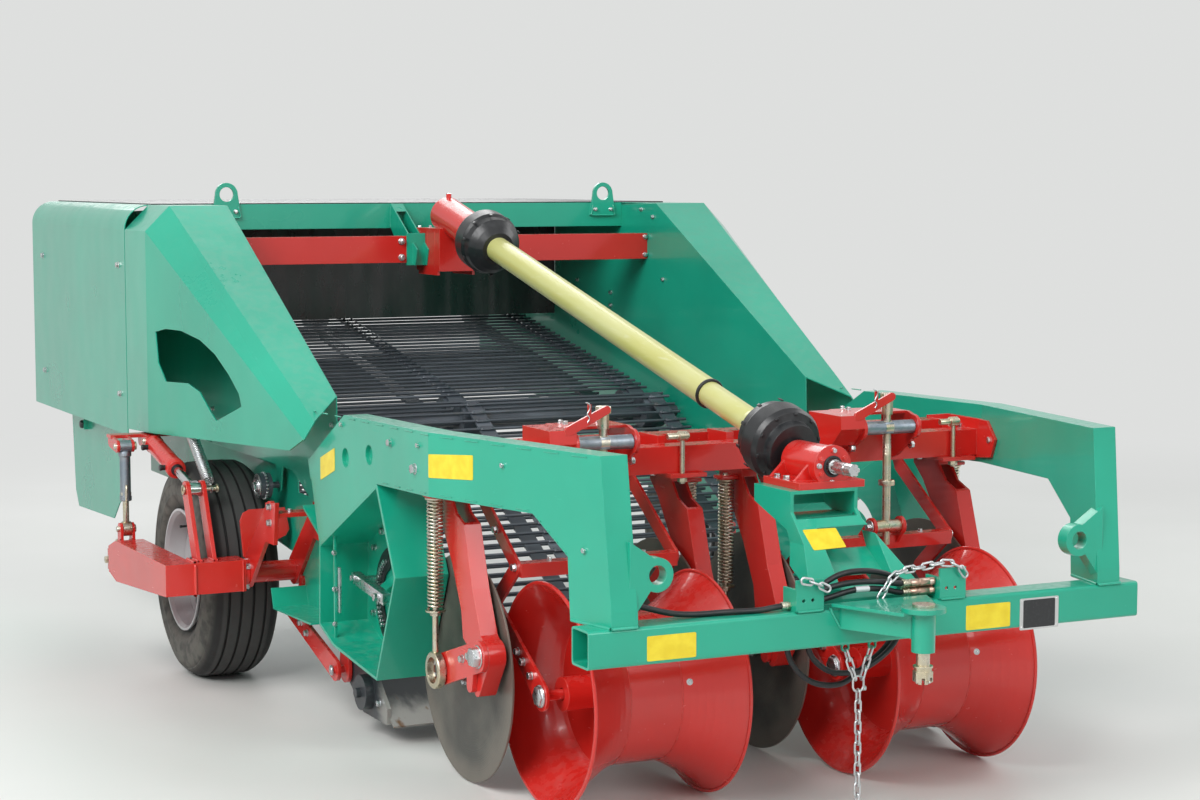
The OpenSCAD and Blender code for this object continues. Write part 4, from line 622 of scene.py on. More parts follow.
def link(length, width, wire):
    """An oval link of round wire in the XZ plane, its length along Z."""
    shape = bmesh.new()
    centre = (width - wire) / 2000
    start = Matrix.Rotation(math.radians(15), 4, "Y") @ Matrix.Translation((centre, 0, 0))
    bmesh.ops.create_circle(shape, segments=8, radius=wire / 2000, matrix=start)
    bmesh.ops.spin(shape, geom=shape.verts[:] + shape.edges[:], cent=(0, 0, 0), axis=(0, 1, 0),
                   angle=math.tau, steps=12, use_merge=True)
    for way in (-1, 1):
        half = [vert for vert in shape.verts if vert.co.z * way > 0]
        bmesh.ops.translate(shape, vec=(0, 0, way * (length - width) / 2000), verts=half)
    return form_of(shape)


def about_z(degrees):
    """The matrix of a turn about Z."""
    return Matrix.Rotation(math.radians(degrees), 4, "Z")


# Turn of the first link, and the places where the links of each length meet
chain_runs = [
    (90, [(-85.4, -550, 491.7), (-75.9, -550, 464.8), (-66.3, -550, 438), (-56.8, -550, 411.1)]),
    (90, [(-5.6, -550, 491.7), (-15.1, -550, 464.8), (-24.7, -550, 438), (-34.2, -550, 411.1)]),
    (90, [(-45.5, -550, 377 - 28.49 * k) for k in range(13)]),
    (0, [(4, -573, 627), (20.3, -574, 650.4), (35.5, -574.4, 674.6), (58.5, -572.9, 691.4),
         (86.1, -570.6, 697.9), (114.6, -569.8, 700.3), (143, -570.9, 702.8), (171, -573.8, 707.1),
         (198.4, -580.2, 711.4), (225.4, -589.5, 709.9), (250.2, -592.7, 696.1), (267.7, -592.1, 673.6)]),
    (0, [(-246, -592.4, 697), (-218.1, -592.4, 691.3), (-191.5, -592.4, 681), (-165.9, -592.4, 668.3)]),
]
links = bmesh.new()
oval = link(44, 24, 6.3)
for turn, points in chain_runs:
    for count, (start, end) in enumerate(zip(points, points[1:])):
        start, end = at(*start), at(*end)
        way = end - start
        swing = about_z(math.degrees(math.atan2(way.y, way.x)))
        swing = swing @ Matrix.Rotation(way.angle((0, 0, 1)), 4, "Y")
        stamp(links, oval, Matrix.Translation((start + end) / 2) @ swing @ about_z(turn + 90 * (count % 2)))
stamp(links, link(50, 41, 6.5), Matrix.Translation(at(-45.5, -550, 396.5)))
stamp(links, bolt(11, 7), aimed(at(-30, -550, 383), (1, -0.4, 0)))
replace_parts(piece("safety_chain", links, galvanised, "frame", 60), "chains")

# Hitch pin: a turned passivated pin with a castle nut, whose split pin of soft wire has
# bent legs
dress(yellow_zinc, "hitch_pin", "depth_spindles")
dress(bright_zinc, "input_shaft")


def wire(name, bends, radius, finish, body):
    """A bent wire or rod through places in millimetres, its radius in metres, made a mesh."""
    line = bpy.data.curves.new(name, "CURVE")
    line.dimensions = "3D"
    line.bevel_depth = radius
    line.bevel_resolution = 2
    line.resolution_u = 4
    line.use_fill_caps = True
    spline = line.splines.new("NURBS")
    spline.points.add(len(bends) - 1)
    for bend, spot in zip(spline.points, bends):
        bend.co = (*at(*spot), 1)
    spline.order_u = 3
    spline.use_endpoint_u = True
    rod = bpy.data.objects.new(name, line)
    mesh = bpy.data.meshes.new_from_object(rod)
    bpy.data.objects.remove(rod)
    shape = bmesh.new()
    shape.from_mesh(mesh)
    bmesh.ops.remove_doubles(shape, verts=shape.verts, dist=1e-6)
    return piece(name, shape, finish, body, 60)


wire("hitch_split_pin", [(-9, -836, 452), (-2, -829, 449), (0, -812, 449), (0, -770, 449), (2, -752, 449),
                         (8, -744, 444), (14, -742, 436)], 0.002, bright_zinc, "frame")

# Bearing housing, gearbox and cross bars in red gloss enamel, with the machined and
# plated bolts that hold the end cover, the feet and the bars
housing_y, housing_z = -337, 958


def upright(x, y, z, turn=0):
    """The matrix of a place in millimetres, its Z axis pointing up."""
    return aimed(at(x, y, z), (0, 0, 1), turn)


red_enamel = enamel("red_enamel", (0.66, 0.022, 0.016), (0.85, 0.20, 0.15), 0.2, 0.0005)
dress(red_enamel, "bearing_housing", "gearbox", "gearbox_bars", "share_links", "row_frame", "disc_legs",
      "roller_forks", "roller_left", "roller_right", "arm_brackets", "wheel_arm_left", "wheel_arm_right",
      "barrel_left", "barrel_right")
fasteners = bmesh.new()
for k in range(4):
    angle = math.radians(90 * k + 4)
    stamp(fasteners, bolt(12, 6.5),
          forward(44 * math.sin(angle), housing_y, housing_z + 44 * math.cos(angle), 17 * k))
for x in (-95, 80):
    for y in (-250, -200):
        stamp(fasteners, bolt(17, 9), upright(x, y, 918, x + y))
for x in (-170, 200):
    for z in (1450, 1510):
        stamp(fasteners, bolt(20, 11), forward(x, 2471, z, z))
for x in (-856, 856):
    for z in (1446, 1516):
        stamp(fasteners, bolt(15, 9), forward(x, 2471.6, z, z))
piece("housing_bolts", fasteners, bright_zinc, "frame")
seal = bmesh.new()
stamp(seal, turned([(-1, 20.6), (0, 30), (2.5, 30), (3, 28), (3, 24), (0.5, 21)], 32),
      forward(0, housing_y, housing_z))
piece("housing_seal", seal, hose_cover, "frame")

# Guard of the power shaft: two plastic tubes that slide in each other, blown in lemon
# yellow, with a dark ring where the narrow one enters the wide one, and black bells
bell_reach = 0.098
guard_plastic = Finish("guard_plastic", (0.62, 0.61, 0.20), Coat_Weight=0.15, Coat_Roughness=0.2)
haze = guard_plastic.patches(7, 4, (1, 0.25, 1))
scuffs = guard_plastic.patches(70, 4, (1, 0.1, 1)).between(0.58, 0.78)
skin = guard_plastic.blend(haze.between(0.3, 0.7), (0.56, 0.55, 0.17), (0.62, 0.62, 0.28))
guard_plastic.feed(Base_Color=guard_plastic.blend(scuffs * 0.35, skin, (0.74, 0.74, 0.52)),
                   Roughness=0.28 + 0.22 * scuffs, Normal=guard_plastic.relief(haze, 0.0015))
dress(guard_plastic, "shaft_guard")
black_moulding = Finish("black_moulding", (0.016, 0.017, 0.019), Specular_IOR_Level=0.5)
grain = black_moulding.patches(600, 2)
rubbed = black_moulding.patches(22, 4).between(0.5, 0.75)
skin = black_moulding.blend(rubbed * 0.5, (0.016, 0.017, 0.019), (0.05, 0.052, 0.055))
black_moulding.feed(Base_Color=skin, Roughness=0.30 + 0.18 * rubbed,
                    Normal=black_moulding.relief(grain, 0.00025, black_moulding.rounded(0.004)))
dress(black_moulding, "guard_bells")
shaft_start, shaft_end = at(0, -40, 1000), at(0, 2050, 1515)
shaft_way = (shaft_end - shaft_start).normalized()
rings = bmesh.new()
for reach, outline in ((0.420, [(-2, 39.5), (-2, 45.2), (0, 46.4), (7, 46.4), (9, 44.4)]),
                       (0.0985, [(0, 58.3), (0, 60), (16, 60), (18, 58)])):
    stamp(rings, turned(outline, 48), aimed(shaft_start + shaft_way * reach, shaft_way))
piece("guard_rings", rings, black_moulding, "frame")
ribs = bmesh.new()
for base, way in ((shaft_start + shaft_way * bell_reach, -shaft_way),
                  (shaft_end - shaft_way * bell_reach, shaft_way)):
    for k in range(10):
        around = aimed(base, way, 36 * k + 12)
        block(ribs, (110.5, -5, 53), (113.5, 5, 72), 1, around)
        block(ribs, (95, -6, 146), (103, 6, 160), 2, around)
piece("bell_ribs", ribs, black_moulding, "frame")

# Gearbox under the top beam: an iron casting under red enamel, with cast ribs, plated
# cover screws and a filler plug
cast = bmesh.new()
for x in (-75.2, 71.2):
    for y in (2375, 2445, 2515):
        block(cast, (x, y, 1405), (x + 4, y + 9, 1548))
piece("gearbox_ribs", cast, red_enamel, "frame")
fasteners = bmesh.new()
for x in (-66, -22, 22, 66):
    stamp(fasteners, bolt(11, 6), upright(x, 2550, 1560, x))
stamp(fasteners, hexagon(17, 10), upright(0, 2417, 1680))
piece("gearbox_plugs", fasteners, bright_zinc, "frame")

# Front of the pedestal: a blank yellow film, cut by a blade and stuck to the slope of
# the folded sheet
films = bmesh.new()
plate(films, ((-128, -390.6, 797), (-23, -391.5, 796), (-13, -432.2, 748), (-117, -433.8, 746)), 0.8,
      (0, -0.763, 0.646))
piece("pedestal_film", films, yellow_film, "frame")

# Bolts of the sheet metal: flanged zinc heads outside the covers, and the rows on the
# inner faces of the two channel walls that carry the hoods and the drive's bearings
eye_middle = 779
fasteners = bmesh.new()
cover_bolt = bolt(19, 8.5)
for side in (-1, 1):
    for y in (2774, 3980):
        for z in (952, 1428):
            stamp(fasteners, cover_bolt, outward(side, side * 1170, y, z, y + z))
    for y, z in ((3221, 1281), (3108, 1323), (3108, 1275), (2794, 1283), (2794, 1231), (2334, 1353),
                 (2422, 1595), (2521, 1623)):
        stamp(fasteners, small_bolt, outward(-side, side * 867, y, z, z))
    for y, z in ((1290, 960), (1420, 1060), (1936, 1180), (2210, 1290), (2590, 900), (2590, 1480)):
        stamp(fasteners, small_bolt, outward(side, side * 871, y, z, y))
    for y in (3050, 3700):
        stamp(fasteners, small_bolt, outward(side, side * 1100, y, 790, y))
    for x in (eye_middle - 34, eye_middle + 34):
        stamp(fasteners, small_bolt, forward(side * x, 2690, 1622, x))
piece("sheet_metal_bolts", fasteners, bright_zinc, "frame")

# Welds where the lifting eyes and the gearbox bracket stand on the top beam, and the
# rubber knob of each side panel's latch
welds = bmesh.new()
for side in (-1, 1):
    for foot, head in ((-52, -44), (52, 44)):
        bead(welds, at(side * (eye_middle + foot), 2689, 1602), at(side * (eye_middle + head), 2689, 1640), 5)
    bead(welds, at(side * (eye_middle - 50), 2689.5, 1599), at(side * (eye_middle + 50), 2689.5, 1599), 5)
for x in (-126, -74, 84):
    bead(welds, at(x, 2699, 1560), at(x, 2699, 1640), 5)
piece("top_beam_welds", welds, green_enamel, "frame", 60)
knobs = bmesh.new()
for side in (-1, 1):
    stamp(knobs, turned([(8, 0), (8, 9), (10, 14), (16, 16.5), (23, 16.5), (29, 13), (31, 7), (31.5, 0)]),
          outward(side, side * 1100, 3580, 760))
piece("latch_knobs", knobs, black_moulding, "frame")

# Curtain and roof: sheets of black conveyor rubber. The curtain hangs from a bar in
# shallow upright waves, and shines where it has been wiped.
curtain_rubber = Finish("curtain_rubber", (0.011, 0.012, 0.014), Coat_Weight=0.5, Coat_Roughness=0.12)
waves = curtain_rubber.patches(5, 2, (1, 1, 0.12))
smears = curtain_rubber.patches(16, 4, (1, 1, 0.5))
curtain_rubber.feed(Base_Color=curtain_rubber.blend(smears.between(0.5, 0.8) * 0.4, (0.011, 0.012, 0.014),
                                                    (0.05, 0.05, 0.048)),
                    Roughness=0.14 + 0.3 * smears,
                    Normal=curtain_rubber.relief(waves, 0.03, curtain_rubber.rounded(0.002)))
dress(curtain_rubber, "curtain")
dress(black_moulding, "roof_sheet")
strips = bmesh.new()
for side in (-1, 1):
    block(strips, (side * 845, 3331, 1592), (side * 30, 3336, 1622), 1)
piece("curtain_clamps", strips, black_moulding, "frame")
fasteners = bmesh.new()
for k in range(9):
    stamp(fasteners, small_bolt, forward(-800 + 200 * k, 3331, 1607, 13 * k))
piece("curtain_bolts", fasteners, bright_zinc, "frame")

# Rod webs: black enamelled spring steel rods, riveted through forged flats to three rubber belts. The steel's
# bluish colour carries a painted sheen of the sky, and its paler crests are part soil wear, part painted
# highlight. Dust lies in the belts.
rod_spacing = 50
web_steel = Finish("web_steel", (0.040, 0.047, 0.056), Coat_Weight=0.25, Coat_Roughness=0.2)
soil = web_steel.patches(24, 4)
rubbed = web_steel.patches(9, 3, (0.3, 2, 2))
wear_and_sheen = rubbed.between(0.52, 0.72)
# Painted sheen: both colours are lightened and blued like a reflected sky; the paler one is rubbed wear plus
# painted highlight
shade = web_steel.blend(wear_and_sheen, (0.060, 0.072, 0.088), (0.15, 0.17, 0.20))
web_steel.feed(Base_Color=web_steel.blend(soil.between(0.55, 0.8) * 0.35, shade, (0.12, 0.10, 0.075)),
               Roughness=0.30 + 0.25 * soil, Metallic=0.35 * wear_and_sheen,
               Normal=web_steel.relief(soil, 0.0008, web_steel.rounded(0.0015)))
dress(web_steel, "front_web", "rear_web", "web_rollers")
clip = bmesh.new()
block(clip, (-28, -11, 68.4), (28, 11, 76.4), 3, Matrix(), 1)
for x in (-17, 17):
    stamp(clip, turned([(76, 5.5), (78.4, 4.4), (79.2, 0)], 6), Matrix.Translation((x / 1000, 0, 0)))
clip = form_of(clip)
clips = bmesh.new()
for low, high in (((1190, 262), (2230, 850)), ((2400, 862), (3950, 1160))):
    run = Vector((0, high[0] - low[0], high[1] - low[1]))
    count = int(run.length // rod_spacing)
    tilt = Matrix.Translation(at(0, *low)) @ Matrix.Rotation(math.atan2(run.z, run.y), 4, "X")
    for k in range(count + 1):
        for x in (-760, 0, 760):
            for turn in (0, 180):
                stamp(clips, clip, tilt @ Matrix.Translation((x / 1000, k * run.length / count / 1000, 0))
                      @ Matrix.Rotation(math.radians(turn), 4, "X"))
piece("web_rivet_flats", clips, web_steel, "frame")

# Share: two cranked cheeks and a blade of boron steel. The blade's lip and the cheeks'
# toes are ground bright by the soil and have begun to brown again.
share_steel = Finish("share_steel", (0.05, 0.05, 0.05), Coat_Weight=0.1)
backward = share_steel.along("Y")
streaks = share_steel.patches(30, 4, (1, 0.15, 1))
bright = (backward * -1 + 0.10 * streaks).between(0.71, 0.80)
metal = share_steel.blend(streaks.between(0.55, 0.75), (0.42, 0.41, 0.39), (0.22, 0.12, 0.06))
share_steel.feed(Base_Color=share_steel.blend(bright, (0.035, 0.040, 0.046), metal), Metallic=0.85 * bright,
                 Roughness=0.34 + 0.2 * streaks,
                 Normal=share_steel.relief(streaks, 0.001, share_steel.rounded(0.003)))
dress(share_steel, "share")
fasteners = bmesh.new()
for side in (-1, 1):
    for y, z in ((960, 118), (1040, 150), (1190, 310), (1262, 290)):
        stamp(fasteners, bolt_head, outward(side, side * 842, y, z, y))
    for y, z in ((1240, 175), (1690, 300)):
        stamp(fasteners, turned([(-3, 12), (-3, 17), (1, 17), (1, 12.4), (3, 11.4), (3, 0)]),
              outward(side, side * 903, y, z))
    for y, z in ((1560, 276), (1500, 250)):
        stamp(fasteners, bolt_head, outward(side, side * 892, y, z, z))
piece("share_bolts", fasteners, bright_zinc, "frame")

# Idler of the web's drive on each wall: a sprocket with a zinc plated hub cap and the
# nut of its stub shaft
idler_y, idler_z = 1842, 703
teeth = 22
caps = bmesh.new()
for side in (-1, 1):
    stamp(caps, turned([(0, 0), (0, 40), (1.5, 41.5), (4, 41.5), (5, 39), (5, 32), (1.5, 30), (1.5, 24),
                        (6, 21), (6, 12), (6, 0)], 36), outward(side, side * 945, idler_y, idler_z))
    stamp(caps, bolt(27, 11), outward(side, side * 951, idler_y, idler_z, 11))
    for k in range(teeth):
        around = outward(side, side * 925, idler_y, idler_z, k * 360 / teeth)
        block(caps, (41.5, -3, -4), (48, 3, 4), 1.2, around, 1)
piece("idler_hubs", caps, bright_zinc, "frame")

# Row frame: the two red bars that carry discs and rollers. Plated sleeves turn in its
# brackets on greased bolts, and split pins keep the locking levers of the spindles.
units = (-476, 476)
spindle_y = 127


def shifted(x, y, z):
    """The matrix of a move in metres."""
    return Matrix.Translation((x, y, z))


def beside(unit, side, reach, y, z, turn=0):
    """The matrix of a place on one side of a row unit, its Z axis pointing away from the unit."""
    return outward(side, unit + side * reach, y, z, turn)


satin_zinc = plated("satin_zinc", (0.26, 0.31, 0.36), (0.34, 0.37, 0.40), 0.38)
sleeves = bmesh.new()
fasteners = bmesh.new()
rods = bmesh.new()
for unit in units:
    for side in (-1, 1):
        stamp(sleeves, turned([(14, 20), (14, 20.6), (84, 20.6), (86, 21.6), (88.6, 21.6), (88.6, 20)], 32),
              outward(side, unit, spindle_y, 1000))
        for reach, z, rim in ((100, 1000, 19), (56, 700, 21)):
            spot = beside(unit, side, reach, spindle_y, z)
            stamp(fasteners, turned([(0, 11), (0, rim), (2, rim + 1), (3.4, rim), (3.4, 11)], 32), spot)
            stamp(fasteners, bolt(17, 9), spot @ shifted(0, 0, 0.003))
        for y, z in ((154, 940), (262, 1010), (262, 952)):
            stamp(fasteners, bolt_head, beside(unit, side, 100, y, z, z))
        for y in (250, 285):
            stamp(fasteners, small_bolt, upright(unit + side * 60, y, 1044, y))
    block(sleeves, (unit - 17, spindle_y - 17, 982), (unit + 17, spindle_y + 17, 1018), 5)
    stamp(rods, turned([(0, 12.2), (0, 12.6), (240, 12.6), (240, 12.2)]), upright(unit, spindle_y, 712))
    stamp(rods, turned([(0, 12.4), (0, 24), (2, 25), (14, 25), (16, 23), (16, 12.4)], 32),
          upright(unit, spindle_y, 825))
    stamp(rods, hexagon(39, 21, 1084), upright(unit, spindle_y, 0))
    for k in range(16):
        thread = turned([(0, 12.2), (1.4, 13.3), (2.8, 12.2)], 20)
        stamp(rods, thread, upright(unit, spindle_y, 916 + 4.4 * k))
piece("trunnion_sleeves", sleeves, satin_zinc, "frame")
piece("spindle_details", rods, yellow_zinc, "frame")
for side in (-1, 1):
    for y, z in ((150, 940), (330, 968), (450, 962)):
        stamp(fasteners, bolt_head, aimed(at(side * (beam_face(y, 76) - 4), y, z),
                                          (-side, beam_slant if y < beam_fold else 0, 0), y))
piece("row_frame_bolts", fasteners, bright_zinc, "frame")
for number, unit in enumerate(units):
    x = unit - 62
    bends = [(x - 12, 88, 1121), (x + 4, 90, 1117), (x + 4, 92, 1100), (x - 8, 92, 1086), (x + 6, 92, 1076),
             (x - 4, 92, 1064)]
    wire(f"lever_pin_{number + 1}", bends, 0.0018, bright_zinc, "frame")

# Legs of the discs: each hangs from the front bar under a plated eyebolt with a cross
# handle, and its trailing arm swings on a shouldered bolt with a broad washer
hub_y, hub_z = 382, 336
eyes = bmesh.new()
fasteners = bmesh.new()
for unit in units:
    for side in (-1, 1):
        x = unit + side * 307
        stamp(eyes, turned([(0, 7), (0, 7.6), (122, 7.6), (122, 7)], 16), upright(x, 226, 862))
        stamp(eyes, turned([(-50, 0), (-50, 8.6), (-48, 9.8), (-16, 9.8), (-13, 15), (13, 15), (15, 9.8),
                            (20, 9.4), (20, 0)], 20), outward(1, x, 226, 995))
        stamp(eyes, hexagon(25, 13, -14), upright(x, 226, 874))
        pivot = beside(unit, side, 396, 107, 423)
        stamp(fasteners, turned([(0, 12), (0, 31), (3, 33), (5, 31), (5, 12)], 32), pivot)
        stamp(fasteners, bolt(49, 20), pivot @ shifted(0, 0, 0.001))
        hub = beside(unit, side, 396, hub_y, hub_z)
        stamp(fasteners, turned([(0, 12), (0, 30), (4, 30), (6, 22), (9, 20), (9, 0)], 32), hub)
        for k in range(4):
            stamp(fasteners, small_bolt, hub @ about_z(90 * k + 45) @ shifted(0.024, 0, 0.004))
        for y, z in ((165, 415), (215, 398)):
            stamp(fasteners, bolt_head, beside(unit, side, 397, y, z, y))
        for y in (392, 452):
            stamp(fasteners, bolt_head, aimed(at(x - side * 10, y, 873), (0, 0, -1), y))
piece("eyebolts", eyes, yellow_zinc, "frame")
piece("leg_bolts", fasteners, bright_zinc, "frame")

# Springs that press the discs down: coils of round wire between two cups, on a plated
# rod that rises from the ring of the hub bearing through a red arm


def coil_of(radius, wire_radius, length, turns, steps, sides):
    """A coil spring of round wire that rises along Z, its sizes in metres."""
    spring = bmesh.new()
    start = Matrix.Translation((radius, 0, 0)) @ Matrix.Rotation(math.radians(90), 4, "X")
    ring = bmesh.ops.create_circle(spring, segments=sides, radius=wire_radius, matrix=start)["verts"]
    bmesh.ops.spin(spring, geom=ring + spring.edges[:], cent=(0, 0, 0), axis=(0, 0, 1),
                   angle=math.tau * turns, dvec=(0, 0, length / turns / steps), steps=turns * steps)
    bmesh.ops.holes_fill(spring, edges=[edge for edge in spring.edges if edge.is_boundary])
    return form_of(spring)


coils = bmesh.new()
rods = bmesh.new()
arms = bmesh.new()
for unit in units:
    for side in (-1, 1):
        x = unit + side * 412
        foot = upright(x, hub_y, 0)
        stamp(coils, coil_of(0.0213, 0.0034, 0.312, 30, 14, 7),
              upright(x, hub_y, 516) @ Matrix.Scale(side, 4, (1, 0, 0)))
        for z in (506, 832):
            stamp(rods, turned([(0, 9), (0, 28), (1.5, 29), (5, 29), (6, 27), (6, 9)], 32),
                  upright(x, hub_y, z))
        stamp(rods, turned([(376, 0), (376, 8.6), (386, 9), (852, 9), (856, 8), (856, 0)], 20), foot)
        for height, base in ((12, 838), (10, 495)):
            stamp(rods, hexagon(27, height, base), foot)
        stamp(rods, turned([(-12, 38), (-12, 51), (-9, 54), (9, 54), (12, 51), (12, 38), (-12, 38)], 40),
              outward(side, x, hub_y, hub_z))
        block(arms, (x - 30, 352, 838.2), (x + 30, 408, 849.8), 3)
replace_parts(piece("spring_coils", coils, yellow_zinc, "frame", 60), "disc_springs")
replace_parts(piece("spring_rods", rods, yellow_zinc, "frame"), "disc_springs")
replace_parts(piece("spring_arms", arms, red_enamel, "frame"), "disc_springs")

# Discs: plain flat discs of hardened steel on hubs with five bolts, blackened, with
# rings from turning, and rubbed brown and grey by the soil towards their edges
disc_steel = Finish("disc_steel", (0.05, 0.05, 0.045), Specular_IOR_Level=0.55)
radius = disc_steel.reach_from(at(0, hub_y, hub_z), (0, 1, 1))
rings = disc_steel.node("ShaderNodeTexNoise", {"noise_dimensions": "1D"},
                        {"W": radius, "Scale": 300, "Detail": 3})
cloud = disc_steel.patches(7, 5)
worn = (radius + 0.05 * cloud).between(0.27, 0.35)
skin = disc_steel.blend(cloud.between(0.35, 0.7), (0.045, 0.043, 0.036), (0.105, 0.099, 0.082))
skin = disc_steel.blend(worn * 0.8, skin, (0.22, 0.195, 0.165))
disc_steel.feed(Base_Color=skin, Metallic=0.5 * worn, Roughness=0.26 + 0.16 * rings + 0.1 * cloud,
                Normal=disc_steel.relief(rings, 0.0007, disc_steel.rounded(0.002)))
dress(disc_steel, "disc_1", "disc_2", "disc_3", "disc_4")
for number, (unit, side) in enumerate((unit, side) for unit in units for side in (-1, 1)):
    fasteners = bmesh.new()
    for k in range(5):
        turn = math.radians(72 * k + 20)
        y, z = hub_y + 45 * math.cos(turn), hub_z + 45 * math.sin(turn)
        stamp(fasteners, bolt(15, 9), beside(unit, side, 331, y, z, 31 * k))
        stamp(fasteners, bolt(15, 10), outward(-side, unit + side * 301, y, z, 31 * k))
    stamp(fasteners, turned([(0, 18), (4, 24), (10, 24), (14, 18), (16, 0)], 32),
          outward(-side, unit + side * 301, hub_y, hub_z))
    piece(f"disc_{number + 1}_bolts", fasteners, bright_zinc, f"disc_{number + 1}")

# Ridge rollers: two flares of rolled sheet welded to a straight waist, with a ripple of
# weld along the seam, a filler plug, and forged nuts on the ends of the axle
roller_z = 319


def round_roller(radius, degrees):
    """Where (y, z) a place on the roller lies, from its radius and its angle."""
    return radius * math.cos(math.radians(degrees)), roller_z + radius * math.sin(math.radians(degrees))


for name, unit in zip(("roller_left", "roller_right"), units):
    welds = bmesh.new()
    plugs = bmesh.new()
    for side in (-1, 1):
        for angle in (-62, 118):
            seam = round_roller(210.6, angle)
            bead(welds, at(unit, *seam), at(unit + side * 78, *seam), 3.4)
        for k in range(30):
            bead(welds, at(unit + side * 80, *round_roller(210.4, 12 * k)),
                 at(unit + side * 80, *round_roller(210.4, 12 * (k + 1))), 3)
    filler = aimed(at(unit + 100, -210.5, 367), (-0.42, -0.9, 0.2))
    stamp(plugs, turned([(-3, 9.5), (1.6, 9.5), (2.6, 8.4), (2.6, 0)]), filler)
    stamp(plugs, hexagon(9, 3, 2), filler)
    for side in (-1, 1):
        axle = beside(unit, side, 256, 0, roller_z)
        stamp(plugs, turned([(0, 15), (0, 30.5), (3, 32), (6, 30.5), (6, 15)], 32), axle)
        stamp(plugs, bolt(49, 11), axle)
    piece(name + "_welds", welds, red_enamel, name, 60)
    piece(name + "_plugs", plugs, bright_zinc, name)
fasteners = bmesh.new()
for unit in units:
    for side in (-1, 1):
        for y, z in ((60, 366), (112, 396), (150, 418), (322, 530), (170, 655), (300, 745)):
            stamp(fasteners, bolt_head, beside(unit, side, 255, y, z, y))
    for x in (-150, 150):
        stamp(fasteners, small_bolt, upright(unit + x, 167, 668, x))
piece("fork_bolts", fasteners, bright_zinc, "frame")

# Wheel arms: box arms bent round the wheels and welded at the elbow by a proud bead, on
# journals between the bracket plates. The pin of the end block is held by two nuts.
flanks = ((-1, "left"), (1, "right"))
elbow_x = 1214
block_x = 1265
pin_y = 2462
# The cylinder's pins in its clevis and in the lever, and the stay's upper and lower pins
cylinder_x, stay_x = 1160, 1262
clevis_pin, lever_pin = (2400, 812), (1870, 700)
stay_top, stay_foot = (2380, 800), (2378, 505)
for side, name in flanks:
    body = "arm_" + name
    welds = bmesh.new()
    for start, end in (((1684, 376), (1684, 474)), ((1688, 479), (1782, 479)), ((1688, 371), (1782, 371)),
                       ((1786, 376), (1786, 474))):
        bead(welds, at(side * elbow_x, *start), at(side * elbow_x, *end), 9)
    for x in (1126, 1141, 1179, 1195):
        bead(welds, at(side * x, 1712, 479), at(side * x, 1782, 479), 5)
    for x in (1247, 1289):
        bead(welds, at(side * x, 2354, 470), at(side * x, 2402, 462), 5)
    for z in (347, 418):
        bead(welds, at(side * 1302, 2431, z), at(side * 1314, 2431, z), 5)
    bead(welds, at(side * 1050, 1684, 372), at(side * 1050, 1684, 478), 5)
    piece(f"arm_{name}_welds", welds, red_enamel, body, 60)
    pins = bmesh.new()
    low_end = aimed(at(side * block_x, pin_y, 345), (0, 0, -1))
    for spot in (upright(side * block_x, pin_y, 420), low_end):
        stamp(pins, turned([(0, 14), (0, 21), (2, 22), (4, 21), (4, 14)], 28), spot)
        stamp(pins, hexagon(29, 14, 4), spot)
    stamp(pins, turned([(0, 14.2), (0, 14.8), (30, 14.8), (32, 13), (32, 0)]),
          upright(side * block_x, pin_y, 424))
    stamp(pins, turned([(0, 14.6), (18, 14.6), (20, 12), (20, 0)]), low_end)
    stamp(pins, big_bolt, outward(side, side * 1300, 2482, 382, 10))
    stamp(pins, big_bolt, aimed(at(side * block_x, 2500, 382), (0, 1, 0), 25))
    stamp(pins, turned([(-41, 10.5), (-41, 17), (-36, 17), (-36, 10.4), (78, 10.4), (78, 15), (82, 15),
                        (83, 0)], 28), outward(-side, side * cylinder_x, *lever_pin))
    stamp(pins, turned([(-32.5, 0), (-32.5, 14), (-29, 14), (-29, 10.2), (33, 10.2), (35, 9), (35, 0)], 28),
          outward(side, side * stay_x, *stay_foot))
    piece(f"arm_{name}_pins", pins, yellow_zinc, body)

# Sheets of the running gear: folded green side sheets behind the tyres, which close the
# space below the channel walls, and a red plate between the brackets of each arm, above
# its journal


def sheet_of(shape, corners, shift):
    """A flat sheet through corners in millimetres, as thick as its shift."""
    stamp(shape, form_of(raised(corners, shift)[0]))


side_sheets = bmesh.new()
bracket_plates = bmesh.new()
for side in (-1, 1):
    outline = ((1712, 482), (1800, 482), (2680, 560), (3560, 560), (3560, 800), (1712, 800))
    sheet_of(side_sheets, [(side * 842, y, z) for y, z in outline], (side * 4, 0, 0))
    block(side_sheets, (side * 846, 1720, 766), (side * 866, 3560, 770), 1)
    outline = ((1028, 1758, 474), (1028, 1793, 594), (1016, 1800, 618), (994, 1803, 628), (866, 1803, 628),
               (858, 1782, 556), (872, 1776, 536))
    sheet_of(bracket_plates, [(side * x, y, z) for x, y, z in outline], (0, -8, 3))
piece("side_sheets", side_sheets, green_enamel, "frame")
piece("bracket_plates", bracket_plates, red_enamel, "frame")

# Brackets of the arms: bolted through the outer plate, with the pins that hold the
# cylinder and the adjusting stay above
fasteners = bmesh.new()
pins = bmesh.new()
for side in (-1, 1):
    for y, z in ((1470, 682), (1470, 630), (1700, 452), (1752, 462), (1772, 402), (1714, 385)):
        stamp(fasteners, bolt_head, outward(side, side * 1024, y, z, y))
    for x in (900, 960):
        stamp(fasteners, small_bolt, upright(side * x, 1465, 664, x))
    for x, place, half in ((cylinder_x, clevis_pin, 30), (stay_x, stay_top, 37)):
        stamp(pins, turned([(-half - 3, 0), (-half - 3, 15), (-half + 1, 15), (-half + 1, 10.3), (half, 10.3),
                            (half + 2, 9), (half + 2, 0)], 28), outward(side, side * x, *place))
    for x in (905, 1010, 1080):
        stamp(fasteners, bolt_head, upright(side * x, 2470, 834, x))
piece("bracket_bolts", fasteners, bright_zinc, "frame")
piece("clevis_pins", pins, yellow_zinc, "frame")

